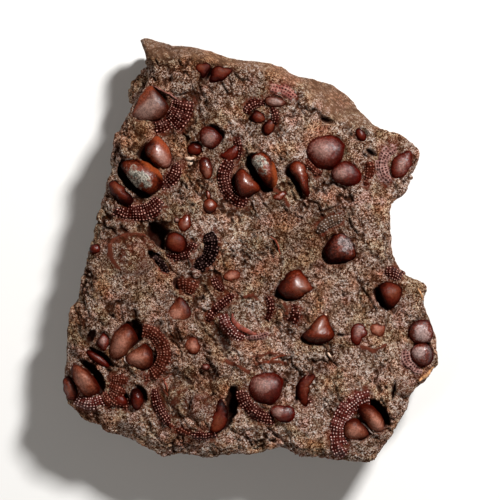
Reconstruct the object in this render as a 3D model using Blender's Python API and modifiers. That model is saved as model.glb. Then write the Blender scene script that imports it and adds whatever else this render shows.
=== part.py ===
"""Fossil trilobite plate: a broken slab of iron-stained sandstone, crowded with
the moulds of small trilobites' head shields.

The slab lies on its back with the fossil face up: +X to the right of the face,
+Y to its top, +Z out of it. Every size below is in millimetres. The origin is
under the middle of the slab, on the surface that it rests on.

The rock is one body. Each head shield is a group of smooth lobes (the swollen
middle and the cheeks) and of fringes, the curved bands of pits that ran round
the front of the head. Where the shell itself dissolved, a gap stays open
beside a lobe.
"""

import math
from typing import NamedTuple, Optional

import bmesh
import bpy
import numpy as np
from mathutils import Matrix, Vector, noise

MM = 0.001

# ---------------------------------------------------------------- the slab

# Height of the fossil face above the underside.
FACE_LEVEL = 16.0

# The broken outline seen from above, clockwise from the upper left tip.
OUTLINE = (
    (-22.6, 42.4), (-21.4, 42.7), (-20.1, 42.1), (-18.1, 41.8), (-16.2, 41.0),
    (-13.2, 40.7), (-11.1, 40.5), (-7.8, 39.5), (-3.9, 38.1), (-1.2, 37.7), (3.4, 37.3),
    (6.3, 36.4), (8.9, 34.7), (12.2, 34.1), (16.4, 33.1), (19.8, 30.2), (22.1, 27.0),
    (25.4, 24.3), (28.8, 23.2), (31.8, 21.2), (33.9, 19.6), (33.4, 17.8), (31.6, 13.6),
    (29.8, 10.6), (28.4, 9.6), (27.6, 8.2), (27.6, 6.0), (27.8, 0.4), (28.6, -1.8),
    (29.8, -4.0), (30.9, -5.2), (32.8, -5.7), (34.1, -6.2), (35.4, -7.2), (34.8, -8.8),
    (34.4, -10.2), (35.8, -14.0), (37.1, -17.6), (37.0, -19.6), (37.5, -21.4),
    (37.0, -23.0), (35.0, -25.6), (34.0, -26.6), (33.0, -26.8), (31.4, -30.4),
    (30.6, -32.6), (28.4, -36.2), (25.8, -40.0), (24.8, -41.8), (23.6, -42.8),
    (20.8, -42.2), (15.8, -41.9), (9.8, -41.6), (8.3, -40.6), (6.5, -39.4), (4.8, -39.3),
    (0.8, -40.4), (-4.7, -40.8), (-8.8, -41.4), (-11.8, -40.8), (-14.2, -40.7),
    (-17.2, -41.6), (-19.4, -40.2), (-24.2, -37.8), (-29.2, -36.0), (-30.4, -35.0),
    (-33.5, -34.0), (-36.0, -31.6), (-37.0, -30.0), (-37.5, -26.0), (-36.9, -21.0),
    (-36.5, -16.0), (-36.0, -13.6), (-36.2, -12.2), (-34.5, -10.0), (-34.6, -8.6),
    (-33.0, -2.0), (-31.4, 2.4), (-31.1, 6.4), (-30.1, 8.2), (-29.9, 10.0), (-28.9, 12.0),
    (-29.2, 13.2), (-27.9, 15.6), (-28.1, 18.0), (-27.1, 22.4), (-24.9, 26.8),
    (-22.4, 30.4), (-20.2, 33.6), (-20.4, 37.6), (-21.4, 38.0), (-21.1, 39.0),
    (-21.6, 40.4),
)

# Where the fossil face ends and the weathered slope along the top begins.
FACE_EDGE = (
    (-22.2, 38.0), (-18.2, 37.8), (-12.2, 38.0), (-7.2, 37.0), (-4.2, 36.2), (1.4, 35.4),
    (3.8, 34.8), (6.3, 33.6), (9.2, 32.2), (10.3, 31.0), (12.3, 28.8), (14.2, 26.8),
    (16.1, 25.6), (18.1, 24.6), (20.1, 24.0), (24.1, 23.8), (27.8, 23.8),
)

# Closes the area of the fossil face well outside the slab.
BEYOND_SLAB = ((60.0, 23.8), (60.0, -60.0), (-60.0, -60.0), (-60.0, 38.0))

# The weathered slope falls this much for each millimetre past the face edge,
# after a rounded start of this radius.
SLOPE_FALL = 1.1
SLOPE_START = 0.8

# The rim's rounding by direction from the middle, in degrees: how far in from
# the outline it begins, and how much it falls at the outline.
RIM_DIRECTION = (-180, -150, -95, -75, -30, 45, 100, 130, 180)
RIM_WIDTH = (3.0, 6.0, 5.0, 2.5, 2.0, 2.0, 1.5, 3.0, 3.0)
RIM_FALL = (1.8, 3.0, 3.0, 1.5, 1.2, 1.0, 0.6, 1.8, 1.8)

# Relief of the broken rock: broad lumps, finer lumps, and their spacing.
BROAD_RELIEF = 0.7
BROAD_SPACING = 9.0
FINE_RELIEF = 0.35
FINE_SPACING = 2.6

# The sides lean in towards the base, with ledges along the bedding.
SIDE_LEAN = 0.05
LEDGE_DEPTH = 1.8
LEDGE_SPACING = 5.0
LEDGE_STEP = 2.2
LEDGE_REACH = 2.0

# The underside is a bedding plane, spalled round its edge.
SPALL_WIDTH = 5.0
SPALL_DEPTH = 2.4
SPALL_SPACING = 7.0
FLAT_TOLERANCE = 0.08

# The bare slab, and the slab with its lobes and hollows, are each shaped in
# even facets of this size, which are then thinned to this many triangles.
SLAB_STEP = 0.8
SLAB_TRIANGLES = 12000
LOBED_STEP = 0.42
LOBED_TRIANGLES = 5600
# Edges sharper than this stay sharp where the rock is shaded.
SHARP_DEGREES = 35

# ----------------------------------------------------- shields and hollows


class Gap(NamedTuple):
    """The space that the dissolved shell left beside a lobe."""

    side: float
    width: float
    depth: float


class Lobe(NamedTuple):
    """A smooth swelling. Its narrow end points along heading, in degrees."""

    x: float
    y: float
    length: float
    width: float
    heading: float
    height: float
    narrowing: float
    gap: Optional[Gap] = None


class Fringe(NamedTuple):
    """A pitted band round (x, y), from one direction to another in degrees."""

    x: float
    y: float
    inner: float
    outer: float
    start: float
    end: float


class Head(NamedTuple):
    """One head shield, or the part of one that the rock shows."""

    lobes: tuple
    fringes: tuple


class Swell(NamedTuple):
    """A broad rise of the face, or a dip where rise is negative."""

    x: float
    y: float
    radius: float
    rise: float


class Hollow(NamedTuple):
    """A pit or a cleft in the rock. Its length runs along heading."""

    x: float
    y: float
    length: float
    width: float
    heading: float
    depth: float


SWELLS = (
    Swell(-15.0, -3.0, 5.0, -1.0),
    Swell(0.0, -13.0, 6.0, -0.8),
    Swell(8.0, 25.0, 8.0, 0.6),
    Swell(25.0, 10.0, 10.0, 0.8),
    Swell(20.0, -35.0, 8.0, 0.6),
    Swell(-10.0, -35.0, 8.0, 0.5),
    Swell(-33.0, -25.0, 6.0, -0.8),
)

HOLLOWS = (
    Hollow(-7.8, 35.2, 1.6, 3.2, 0, 2),
    Hollow(14.8, 26.0, 4.4, 1.6, -20, 1.5),
    Hollow(23.9, 19.4, 3.6, 1.4, -35, 1.5),
    Hollow(-18.9, 3.6, 4.8, 3.6, -60, 3.2),
    Hollow(-17.9, -2.4, 7.2, 1.2, -38, 1.2),
    Hollow(-14.7, -6.6, 2, 2.8, 0, 1),
    Hollow(-7.2, -16.4, 8, 1, -50, 1.5),
    Hollow(-31.9, -17.4, 2.4, 4, -20, 1.2),
    Hollow(-9.8, -24.8, 2.8, 1.8, -50, 1.5),
    Hollow(2.4, -1.0, 3.6, 1.2, -15, 1),
    Hollow(-4.7, -31.4, 2.6, 8, 12, 4),
    Hollow(-13.2, -25.8, 6.4, 1, -22, 1),
    Hollow(6.0, -38.6, 8, 1.4, -42, 1.4),
    Hollow(0.1, -36.2, 6.8, 0.8, 0, 0.8),
    Hollow(26.9, -14.2, 4.4, 0.6, 80, 0.8),
    Hollow(18.4, -17.0, 2.8, 1, 0, 0.8),
)

HEADS = {
    "upper_left_shield": Head(
        lobes=(
            Lobe(-20.1, 28.8, 7.2, 6.2, 95, 1.8, 0.25, Gap(40, 0.6, 1.2)),
        ),
        fringes=(
            Fringe(-20.2, 30.4, 4.4, 8.8, -85, -8),
        ),
    ),
    "left_twin_shield": Head(
        lobes=(
            Lobe(-18.2, 19.2, 7, 5.4, -60, 2.5, 0.1, Gap(180, 1.8, 2.2)),
        ),
        fringes=(
            Fringe(-19.2, 17.0, 3, 5.6, -70, 10),
        ),
    ),
    "coated_left_shield": Head(
        lobes=(
            Lobe(-21.6, 13.8, 8.6, 6, -40, 2.9, 0.05, Gap(205, 2.2, 3.2)),
            Lobe(-25.9, 10.2, 8.4, 3, -46, 1.6, 0),
        ),
        fringes=(
            Fringe(-23.1, 14.0, 5, 8.2, -125, -40),
        ),
    ),
    "twin_button": Head(
        lobes=(
            Lobe(-8.2, 22.2, 5, 4.2, -45, 1.6, 0.1, Gap(45, 1, 1.6)),
            Lobe(-11.1, 20.2, 3.2, 2.2, -30, 0.8, 0, Gap(80, 0.6, 0.8)),
            Lobe(-9.1, 16.0, 5, 2.2, -78, 1.1, 0.1, Gap(10, 0.6, 1)),
        ),
        fringes=(),
    ),
    "bead": Head(
        lobes=(
            Lobe(-8.2, 8.8, 3, 3, 0, 1.3, 0),
            Lobe(-8.2, 11.2, 1.8, 1.4, 0, 0.6, 0),
        ),
        fringes=(),
    ),
    "amber_shield": Head(
        lobes=(
            Lobe(-0.8, 13.0, 6.6, 5, -35, 2.5, 0.1, Gap(190, 1.2, 2)),
            Lobe(-4.5, 19.2, 4.4, 2.2, 25, 1, 0),
        ),
        fringes=(
            Fringe(-0.7, 14.4, 3.4, 5.8, 135, 262),
            Fringe(-7.2, 20.0, 3.6, 5.6, -25, 25),
        ),
    ),
    "coated_centre_lobe": Head(
        lobes=(
            Lobe(3.0, 16.0, 8.2, 4.2, -68, 2.6, 0.15, Gap(210, 2.2, 3.2)),
        ),
        fringes=(),
    ),
    "slender_lobe": Head(
        lobes=(
            Lobe(9.8, 14.4, 8.4, 3, -68, 1.6, 0.35, Gap(205, 1.2, 2)),
            Lobe(5.5, 10.6, 3, 1.4, 10, 0.5, 0),
        ),
        fringes=(),
    ),
    "broad_violet_shield": Head(
        lobes=(
            Lobe(14.8, 19.6, 8, 6.6, 10, 2.6, 0.05, Gap(0, 0.6, 1)),
            Lobe(18.4, 15.0, 7.6, 4.4, -15, 2, 0.1),
        ),
        fringes=(
            Fringe(15.8, 20.0, 3.8, 6, 200, 250),
            Fringe(18.8, 16.0, 4, 5.6, -40, 20),
        ),
    ),
    "right_corner_shield": Head(
        lobes=(
            Lobe(30.4, 16.6, 6, 4, 72, 1.3, 0.1),
            Lobe(21.9, 23.0, 3, 2, -60, 0.7, 0, Gap(50, 0.6, 0.8)),
        ),
        fringes=(
            Fringe(30.1, 17.0, 2.4, 5.2, 110, 230),
        ),
    ),
    "top_small_shield": Head(
        lobes=(
            Lobe(4.8, 29.6, 4.8, 2.6, -5, 1.1, 0.1, Gap(60, 0.6, 1)),
            Lobe(1.1, 26.6, 3, 2.6, 0, 1.1, 0, Gap(160, 0.8, 1)),
            Lobe(3.5, 24.6, 3.6, 2.6, 60, 1, 0, Gap(200, 0.6, 0.8)),
        ),
        fringes=(
            Fringe(1.4, 26.8, 1.6, 3.6, 60, 170),
            Fringe(1.4, 26.4, 2.4, 4.2, -30, 40),
        ),
    ),
    "pink_fringe": Head(
        lobes=(),
        fringes=(
            Fringe(3.4, 27.0, 5, 7.4, 45, 95),
        ),
    ),
    "dark_socket_shield": Head(
        lobes=(
            Lobe(-14.8, 2.0, 5, 4.6, 20, 2, 0.1, Gap(165, 2.8, 3.2)),
        ),
        fringes=(
            Fringe(-15.1, 2.4, 2.6, 4.4, 215, 330),
            Fringe(-12.2, 1.0, 3, 5.6, -70, 38),
        ),
    ),
    "low_left_dome": Head(
        lobes=(
            Lobe(-23.6, -0.8, 10, 8.4, 0, 1, 0),
            Lobe(-31.2, 0.2, 2.4, 2, 0, 0.8, 0),
        ),
        fringes=(),
    ),
    "ring_fragment": Head(
        lobes=(
            Lobe(-3.9, -5.0, 4, 2.4, 0, 0.7, 0),
            Lobe(-14.2, -11.8, 4.4, 4, 60, 1.3, 0, Gap(200, 0.8, 1)),
        ),
        fringes=(
            Fringe(-13.1, -11.2, 2, 5.2, 45, 135),
            Fringe(-3.9, -5.0, 2.4, 4.4, 190, 245),
        ),
    ),
    "open_ring": Head(
        lobes=(),
        fringes=(
            Fringe(-0.2, -18.0, 8.4, 10.8, 110, 160),
            Fringe(0.3, -11.6, 4.4, 7.2, 195, 300),
            Fringe(0.3, -11.6, 2.6, 4.6, -50, 45),
            Fringe(4.8, -12.0, 2.8, 5.6, -35, 20),
        ),
    ),
    "grainy_lobe": Head(
        lobes=(
            Lobe(18.1, 0.8, 7, 5.8, 20, 2.3, 0.05, Gap(225, 1.2, 2.2)),
        ),
        fringes=(),
    ),
    "ridged_lobe": Head(
        lobes=(
            Lobe(8.6, -6.8, 7.6, 5.2, 36, 2.3, 0.35, Gap(215, 1, 2)),
        ),
        fringes=(),
    ),
    "pointed_lobe": Head(
        lobes=(
            Lobe(13.6, -16.0, 6.8, 5.2, 50, 2.3, 0.45, Gap(215, 0.8, 1.4)),
        ),
        fringes=(),
    ),
    "right_edge_shield": Head(
        lobes=(
            Lobe(27.8, -8.2, 5.6, 4, 80, 1.8, 0.2, Gap(215, 1.6, 2.4)),
        ),
        fringes=(
            Fringe(27.4, -8.4, 2.6, 5.2, 20, 110),
        ),
    ),
    "small_pair": Head(
        lobes=(
            Lobe(21.4, -16.0, 3.6, 2.6, 90, 0.7, 0.1),
            Lobe(24.8, -15.2, 2.8, 2.4, 0, 0.7, 0),
        ),
        fringes=(),
    ),
    "pale_edge_shield": Head(
        lobes=(
            Lobe(33.8, -16.2, 5.6, 4.8, 100, 1.8, 0.05, Gap(120, 0.6, 1)),
            Lobe(34.0, -21.4, 5.4, 5, 0, 2, 0, Gap(60, 0.6, 1.2)),
            Lobe(29.9, -27.8, 4.2, 3.6, 0, 0.8, 0, Gap(215, 0.8, 1.2)),
        ),
        fringes=(
            Fringe(34.4, -21.2, 2.6, 5, 160, 265),
        ),
    ),
    "tan_twin_shield": Head(
        lobes=(
            Lobe(-26.2, -18.8, 8, 5, 58, 2.8, 0.1, Gap(35, 2, 3)),
            Lobe(-22.6, -21.4, 6, 5, 5, 2.1, 0.1, Gap(0, 1, 1.8)),
            Lobe(-29.9, -18.4, 3.8, 2.6, -60, 1.1, 0, Gap(150, 0.6, 1)),
        ),
        fringes=(
            Fringe(-22.2, -20.8, 3.2, 5.8, -75, 80),
        ),
    ),
    "lower_left_shield": Head(
        lobes=(
            Lobe(-33.0, -26.0, 8.4, 4.6, -56, 2.6, 0.05, Gap(38, 2, 3)),
            Lobe(-36.2, -27.8, 5.6, 2.6, -78, 1.5, 0),
            Lobe(-30.6, -21.8, 6, 1.8, -35, 0.8, 0, Gap(60, 0.6, 1)),
        ),
        fringes=(
            Fringe(-32.2, -25.6, 4, 6.8, -125, 5),
        ),
    ),
    "lower_left_pair": Head(
        lobes=(
            Lobe(-22.6, -30.0, 5, 2.8, 85, 1.6, 0.1, Gap(20, 1.2, 2.2)),
            Lobe(-27.1, -30.0, 4.4, 2.8, -10, 1.1, 0, Gap(30, 1, 1.4)),
        ),
        fringes=(),
    ),
    "hollow_shield": Head(
        lobes=(
            Lobe(-9.2, -31.6, 7.6, 4, 85, 1.6, 0.1),
            Lobe(-14.2, -29.2, 6, 4.8, 60, 1, 0),
            Lobe(-6.0, -32.6, 6.8, 1.8, 97, 1.3, 0, Gap(5, 2.4, 3.6)),
            Lobe(-12.1, -19.2, 3.2, 2.8, 0, 0.7, 0),
            Lobe(-9.1, -23.4, 1.8, 1.4, 0, 0.7, 0),
        ),
        fringes=(
            Fringe(-10.2, -28.0, 7.2, 10, 178, 285),
        ),
    ),
    "polished_shield": Head(
        lobes=(
            Lobe(3.1, -27.6, 7, 5.8, -10, 2.3, 0.1, Gap(200, 0.4, 0.8)),
            Lobe(6.8, -32.6, 4.8, 3, 10, 1.5, 0.1),
        ),
        fringes=(
            Fringe(4.2, -27.6, 4.4, 7.2, 180, 272),
            Fringe(3.4, -27.0, 5.4, 7.2, 60, 120),
        ),
    ),
    "red_crescent": Head(
        lobes=(
            Lobe(10.3, -27.8, 7.2, 1.6, 84, 0.2, 0, Gap(180, 1, 2.2)),
        ),
        fringes=(
            Fringe(14.2, -27.6, 2.8, 4.8, 130, 230),
        ),
    ),
    "beaded_shield": Head(
        lobes=(
            Lobe(24.4, -33.4, 8.4, 4.4, -52, 2.8, 0.05, Gap(38, 2.2, 3.2)),
            Lobe(20.9, -36.8, 5.6, 3, 5, 2.1, 0.1, Gap(120, 0.8, 1.2)),
        ),
        fringes=(
            Fringe(25.1, -36.8, 6, 9.2, 95, 212),
        ),
    ),
    "edge_flakes": Head(
        lobes=(
            Lobe(-9.7, 36.6, 2.8, 1.6, -30, 1, 0),
            Lobe(-5.8, 35.0, 3.2, 1.2, 25, 1, 0),
        ),
        fringes=(),
    ),
}

# A ledge of rock that stands out low on the left side.
SIDE_LEDGE = Lobe(-21.9, 32.8, 8.6, 4.6, 64, 0.0, 0.2)
SIDE_LEDGE_LEVEL = 8.5
SIDE_LEDGE_THICKNESS = 6.0

# Where a lobe is widest: this far under the face, and this share of its gap.
LOBE_SINK = 0.3
LOBE_SINK_IN_GAP = 0.55
# How deep a lobe and a fringe root in the rock.
LOBE_ROOT = 3.6
FRINGE_ROOT = 1.5
# A lobe this long gets the finer facets.
LARGE_LOBE = 4.5
LARGE_FACETS = (14, 8)
SMALL_FACETS = (8, 6)
# A hollow's cutter reaches this far above the face.
HOLLOW_CLEARANCE = 3.0

# A fringe lies in a shallow bed and is arched across its width, with one pit
# in every cell.
FRINGE_BED = 0.5
FRINGE_BED_MARGIN = 1.2
FRINGE_CELL = 1.25
FRINGE_EDGE = 0.35
FRINGE_ARCH = 0.5
PIT_DEPTH = 0.55


# ------------------------------------------------------------- the geometry


def edge_distance(plan, path, closed=True):
    """Distance from each point of plan to the nearest stretch of a path."""
    corners = np.array(path, float)
    starts = corners if closed else corners[:-1]
    spans = (np.roll(corners, -1, axis=0) if closed else corners[1:]) - starts
    offsets = plan[:, None, :] - starts
    along = (offsets * spans).sum(2) / (spans * spans).sum(1)
    nearest = np.clip(along, 0, 1)[:, :, None] * spans
    return np.linalg.norm(offsets - nearest, axis=2).min(1)


def is_inside(plan, polygon):
    """Whether each point of plan is inside a closed polygon."""
    inside = np.zeros(len(plan), bool)
    for (x0, y0), (x1, y1) in zip(polygon, polygon[1:] + polygon[:1]):
        if y0 == y1:
            continue
        spans_point = (y0 > plan[:, 1]) != (y1 > plan[:, 1])
        crossing = x0 + (plan[:, 1] - y0) / (y1 - y0) * (x1 - x0)
        inside ^= spans_point & (plan[:, 0] < crossing)
    return inside


def roughness(points, octaves=4):
    """Fractal noise at each row of points, about -1 to 1."""
    return np.array([noise.fractal(Vector(row), 1.0, 2.0, octaves) for row in points])


def face_height(plan):
    """Height of the bare rock's upper side over each point of plan."""
    x, y = plan[:, 0], plan[:, 1]
    flat = np.zeros(len(plan))
    broad = roughness(np.column_stack((x, y, flat)) / BROAD_SPACING)
    fine = roughness(np.column_stack((x, y, flat + FACE_LEVEL)) / FINE_SPACING)
    height = FACE_LEVEL + BROAD_RELIEF * broad
    for swell in SWELLS:
        away = np.hypot(x - swell.x, y - swell.y) / swell.radius
        height += swell.rise * np.exp(-away**2)

    direction = np.degrees(np.arctan2(y, x))
    width = np.interp(direction, RIM_DIRECTION, RIM_WIDTH)
    fall = np.interp(direction, RIM_DIRECTION, RIM_FALL)
    into_rim = np.clip(1 - edge_distance(plan, OUTLINE) / width, 0, 1)
    height -= fall * into_rim**2

    face_area = FACE_EDGE + BEYOND_SLAB
    past_edge = edge_distance(plan, FACE_EDGE, closed=False)
    past_edge[is_inside(plan, face_area)] = 0
    height -= SLOPE_FALL * (np.hypot(past_edge, SLOPE_START) - SLOPE_START)
    worn_smooth = np.exp(-past_edge)
    return height + FINE_RELIEF * fine * worn_smooth - fringe_beds(plan)


def fringe_beds(plan):
    """How deep the beds of the fringes are over each point of plan."""
    depth = np.zeros(len(plan))
    for fringe in (fringe for head in HEADS.values() for fringe in head.fringes):
        across = plan - (fringe.x, fringe.y)
        radius = np.linalg.norm(across, axis=1)
        middle = (fringe.start + fringe.end) / 2
        turned = np.degrees(np.arctan2(across[:, 1], across[:, 0])) - middle
        off_middle = np.abs((turned + 180) % 360 - 180)
        past_end = np.radians(off_middle - (fringe.end - fringe.start) / 2) * radius
        past_side = np.maximum(fringe.inner - radius, radius - fringe.outer)
        past = np.hypot(np.maximum(past_end, 0), np.maximum(past_side, 0))
        depth = np.maximum(depth, FRINGE_BED * (1 - past / FRINGE_BED_MARGIN))
    return depth


def face_height_at(x, y):
    """Height of the bare rock's upper side at one place."""
    return float(face_height(np.array([[x, y]]))[0])


def underside_height(plan):
    """Height of the underside over each point of plan, 0 where it is flat."""
    near_edge = np.clip(1 - edge_distance(plan, OUTLINE) / SPALL_WIDTH, 0, 1)
    spots = roughness(np.column_stack((plan, np.full(len(plan), -1.0))) / SPALL_SPACING)
    return SPALL_DEPTH * near_edge * np.clip(0.5 + 0.9 * spots, 0, 1)


def lean_in(points, level):
    """The slab's points with the sides leaning in and broken into ledges."""
    plan = points[:, :2]
    out_from_middle = plan / np.maximum(np.linalg.norm(plan, axis=1), 1)[:, None]
    bedding = np.column_stack((plan / LEDGE_SPACING, points[:, 2] / LEDGE_STEP))
    ledges = LEDGE_DEPTH * np.clip(0.5 + 0.8 * roughness(bedding), 0, 1)
    at_side = np.exp(-edge_distance(plan, OUTLINE) / LEDGE_REACH)
    step_in = ledges * at_side * np.sqrt(1 - level)
    leaned = plan * (1 - SIDE_LEAN * (1 - level))[:, None]
    return leaned - out_from_middle * step_in[:, None]


# ---------------------------------------------------------- Blender helpers


def clear_scene():
    """Removes every object from the scene."""
    for thing in list(bpy.data.objects):
        bpy.data.objects.remove(thing, do_unlink=True)


def new_collection(name):
    """A collection in the scene."""
    collection = bpy.data.collections.new(name)
    bpy.context.scene.collection.children.link(collection)
    return collection


def new_material(name, colour, roughness_value):
    """A stone finish with its own Principled BSDF."""
    material = bpy.data.materials.new(name)
    material.use_nodes = True
    shader = material.node_tree.nodes["Principled BSDF"]
    shader.inputs["Base Color"].default_value = (*colour, 1.0)
    shader.inputs["Roughness"].default_value = roughness_value
    shader.inputs["Metallic"].default_value = 0.0
    material.diffuse_color = (*colour, 1.0)
    return material


def new_object(name, mesh, collection, material):
    """An object for the mesh, in the collection, with the one material."""
    thing = bpy.data.objects.new(name, mesh)
    mesh.materials.clear()
    mesh.materials.append(material)
    collection.objects.link(thing)
    return thing


def make_helper(thing):
    """Keeps a cutter or a joined piece out of the render."""
    thing.hide_render = True
    thing.display_type = "WIRE"


def evaluated_mesh(thing):
    """The object's mesh with its modifiers applied."""
    bpy.context.view_layer.update()
    graph = bpy.context.evaluated_depsgraph_get()
    return bpy.data.meshes.new_from_object(thing.evaluated_get(graph))


def apply_modifiers(thing):
    """Puts the evaluated mesh in the object in place of its modifiers."""
    shaped = evaluated_mesh(thing)
    thing.modifiers.clear()
    thing.data = shaped


def points_of(mesh):
    """The mesh's points in millimetres, as rows."""
    flat = np.empty(3 * len(mesh.vertices), np.float32)
    mesh.vertices.foreach_get("co", flat)
    return flat.reshape(-1, 3).astype(float) / MM


def move_points(mesh, points):
    """Gives the mesh new points, in millimetres."""
    mesh.vertices.foreach_set("co", (points * MM).astype(np.float32).ravel())
    mesh.update()


# ---------------------------------------------------------------- the pieces


def slab_outline(collection, material):
    """The slab as a plain plate: its outline, filled and extruded."""
    curve = bpy.data.curves.new("slab_outline", "CURVE")
    curve.dimensions = "2D"
    curve.fill_mode = "BOTH"
    curve.extrude = FACE_LEVEL / 2 * MM
    spline = curve.splines.new("POLY")
    spline.points.add(len(OUTLINE) - 1)
    for point, (x, y) in zip(spline.points, OUTLINE):
        point.co = (x * MM, y * MM, 0.0, 1.0)
    spline.use_cyclic_u = True

    guide = bpy.data.objects.new("slab_outline", curve)
    collection.objects.link(guide)
    plate = evaluated_mesh(guide)
    plate.transform(Matrix.Translation((0, 0, FACE_LEVEL / 2 * MM)))
    bpy.data.objects.remove(guide)

    bm = bmesh.new()
    bm.from_mesh(plate)
    bmesh.ops.remove_doubles(bm, verts=bm.verts, dist=1e-6)
    bmesh.ops.recalc_face_normals(bm, faces=bm.faces)
    bm.to_mesh(plate)
    bm.free()
    return new_object("fossil_plate", plate, collection, material)


def even_out(slab, step):
    """Gives the slab even facets of one size."""
    remesh = slab.modifiers.new("even_facets", "REMESH")
    remesh.mode = "VOXEL"
    remesh.voxel_size = step * MM
    apply_modifiers(slab)
    flatten_underside(slab.data)


def thin_out(slab, triangles):
    """Keeps the facets that the shape needs most, to this number."""
    fewer = slab.modifiers.new("fewer_facets", "DECIMATE")
    fewer.ratio = triangles / (2 * len(slab.data.polygons))
    apply_modifiers(slab)
    flatten_underside(slab.data)


def flatten_underside(mesh):
    """Puts the points that are all but on the bedding plane on it."""
    points = points_of(mesh)
    points[points[:, 2] < FLAT_TOLERANCE, 2] = 0.0
    move_points(mesh, points)


def shape_slab(slab):
    """Breaks the plain plate into the rock's own surface."""
    even_out(slab, SLAB_STEP)
    points = points_of(slab.data)
    level = np.clip(points[:, 2] / FACE_LEVEL, 0, 1)
    top = face_height(points[:, :2])
    bottom = underside_height(points[:, :2])
    plan = lean_in(points, level)
    move_points(slab.data, np.column_stack((plan, bottom + (top - bottom) * level)))

    thin_out(slab, SLAB_TRIANGLES)


def spheroid(shape, narrowing, widest_level, rise, root):
    """A spheroid on a lobe's or a hollow's plan, unlike above and below."""
    sides, rings = LARGE_FACETS if shape.length > LARGE_LOBE else SMALL_FACETS
    bm = bmesh.new()
    bmesh.ops.create_uvsphere(bm, u_segments=sides, v_segments=rings, radius=1.0)
    for vert in bm.verts:
        vert.co.y *= 1 - narrowing * vert.co.x
        vert.co.z *= rise if vert.co.z > 0 else root
    size = Matrix.Diagonal((shape.length / 2, shape.width / 2, 1.0, 1.0))
    turn = Matrix.Rotation(math.radians(shape.heading), 4, "Z")
    place = Matrix.Translation((shape.x, shape.y, widest_level))
    bm.transform(Matrix.Scale(MM, 4) @ place @ turn @ size)
    mesh = bpy.data.meshes.new("spheroid")
    bm.to_mesh(mesh)
    bm.free()
    return mesh


def lobe_piece(name, lobe, collection, material):
    """A lobe of a head shield, rooted in the rock."""
    sink = LOBE_SINK
    if lobe.gap:
        sink += LOBE_SINK_IN_GAP * lobe.gap.depth
    widest = face_height_at(lobe.x, lobe.y) - sink
    mesh = spheroid(lobe, lobe.narrowing, widest, lobe.height + sink, LOBE_ROOT)
    make_helper(new_object(name, mesh, collection, material))


def gap_cutter(name, lobe, collection, material):
    """The cutter for the gap beside a lobe: wider, and shifted to its side."""
    gap = lobe.gap
    shift = gap.width / 2
    side = math.radians(gap.side)
    hollow = Hollow(
        lobe.x + shift * math.cos(side),
        lobe.y + shift * math.sin(side),
        lobe.length + gap.width,
        lobe.width + gap.width,
        lobe.heading,
        gap.depth,
    )
    hollow_cutter(name, hollow, collection, material)


def hollow_cutter(name, hollow, collection, material):
    """The cutter for a pit or a cleft, open above the face."""
    brim = face_height_at(hollow.x, hollow.y)
    mesh = spheroid(hollow, 0.0, brim, HOLLOW_CLEARANCE, hollow.depth)
    make_helper(new_object(name, mesh, collection, material))


def fringe_sheet(fringe):
    """The fringe's grid of cells as an open sheet, swept round its middle."""
    sweep = math.radians(fringe.end - fringe.start)
    rows = max(2, round((fringe.outer - fringe.inner) / FRINGE_CELL))
    columns = max(2, round(sweep * (fringe.inner + fringe.outer) / 2 / FRINGE_CELL))
    bm = bmesh.new()
    radii = np.linspace(fringe.inner, fringe.outer, rows + 1)
    across = [bm.verts.new((radius, 0.0, 0.0)) for radius in radii]
    profile = [bm.edges.new(pair) for pair in zip(across, across[1:])]
    bmesh.ops.spin(
        bm,
        geom=across + profile,
        cent=(0, 0, 0),
        axis=(0, 0, 1),
        angle=sweep,
        steps=columns,
        use_duplicate=False,
    )
    turn = Matrix.Rotation(math.radians(fringe.start), 4, "Z")
    bm.transform(Matrix.Translation((fringe.x, fringe.y, 0)) @ turn)
    for face in bm.faces:
        face.normal_update()
        if face.normal.z < 0:
            face.normal_flip()
    return bm


def fringe_piece(name, fringe, collection, material):
    """A fringe draped on the rock, arched, with a pit in every cell."""
    bm = fringe_sheet(fringe)
    plan = np.array([vert.co[:2] for vert in bm.verts])
    radius = np.hypot(plan[:, 0] - fringe.x, plan[:, 1] - fringe.y)
    across = (radius - fringe.inner) / (fringe.outer - fringe.inner)
    arch = FRINGE_EDGE + FRINGE_ARCH * np.sin(np.pi * np.clip(across, 0, 1))
    for vert, height in zip(bm.verts, face_height(plan) + arch):
        vert.co.z = height
    cells = bm.faces[:]
    rooted = bmesh.ops.extrude_face_region(bm, geom=cells, use_keep_orig=True)
    roots = [part for part in rooted["geom"] if isinstance(part, bmesh.types.BMVert)]
    bmesh.ops.translate(bm, verts=roots, vec=(0, 0, -FRINGE_ROOT))
    bmesh.ops.poke(bm, faces=cells, offset=-PIT_DEPTH)
    bmesh.ops.recalc_face_normals(bm, faces=bm.faces)
    bm.transform(Matrix.Scale(MM, 4))
    mesh = bpy.data.meshes.new(name)
    bm.to_mesh(mesh)
    bm.free()
    make_helper(new_object(name, mesh, collection, material))


def side_ledge(collection, material):
    """The low ledge on the left side."""
    half = SIDE_LEDGE_THICKNESS / 2
    mesh = spheroid(SIDE_LEDGE, SIDE_LEDGE.narrowing, SIDE_LEDGE_LEVEL, half, half)
    make_helper(new_object("side_ledge", mesh, collection, material))


def drop_chips(mesh):
    """Removes any crumb that the joins leave loose from the main body."""
    bm = bmesh.new()
    bm.from_mesh(mesh)
    unvisited = set(bm.verts)
    bodies = []
    while unvisited:
        search = [unvisited.pop()]
        body = set(search)
        while search:
            vert = search.pop()
            linked = {edge.other_vert(vert) for edge in vert.link_edges}
            search.extend(linked & unvisited)
            body |= linked
            unvisited -= linked
        bodies.append(body)
    main_body = max(bodies, key=len)
    chips = [vert for vert in bm.verts if vert not in main_body]
    bmesh.ops.delete(bm, geom=chips, context="VERTS")
    bm.to_mesh(mesh)
    bm.free()


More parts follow.
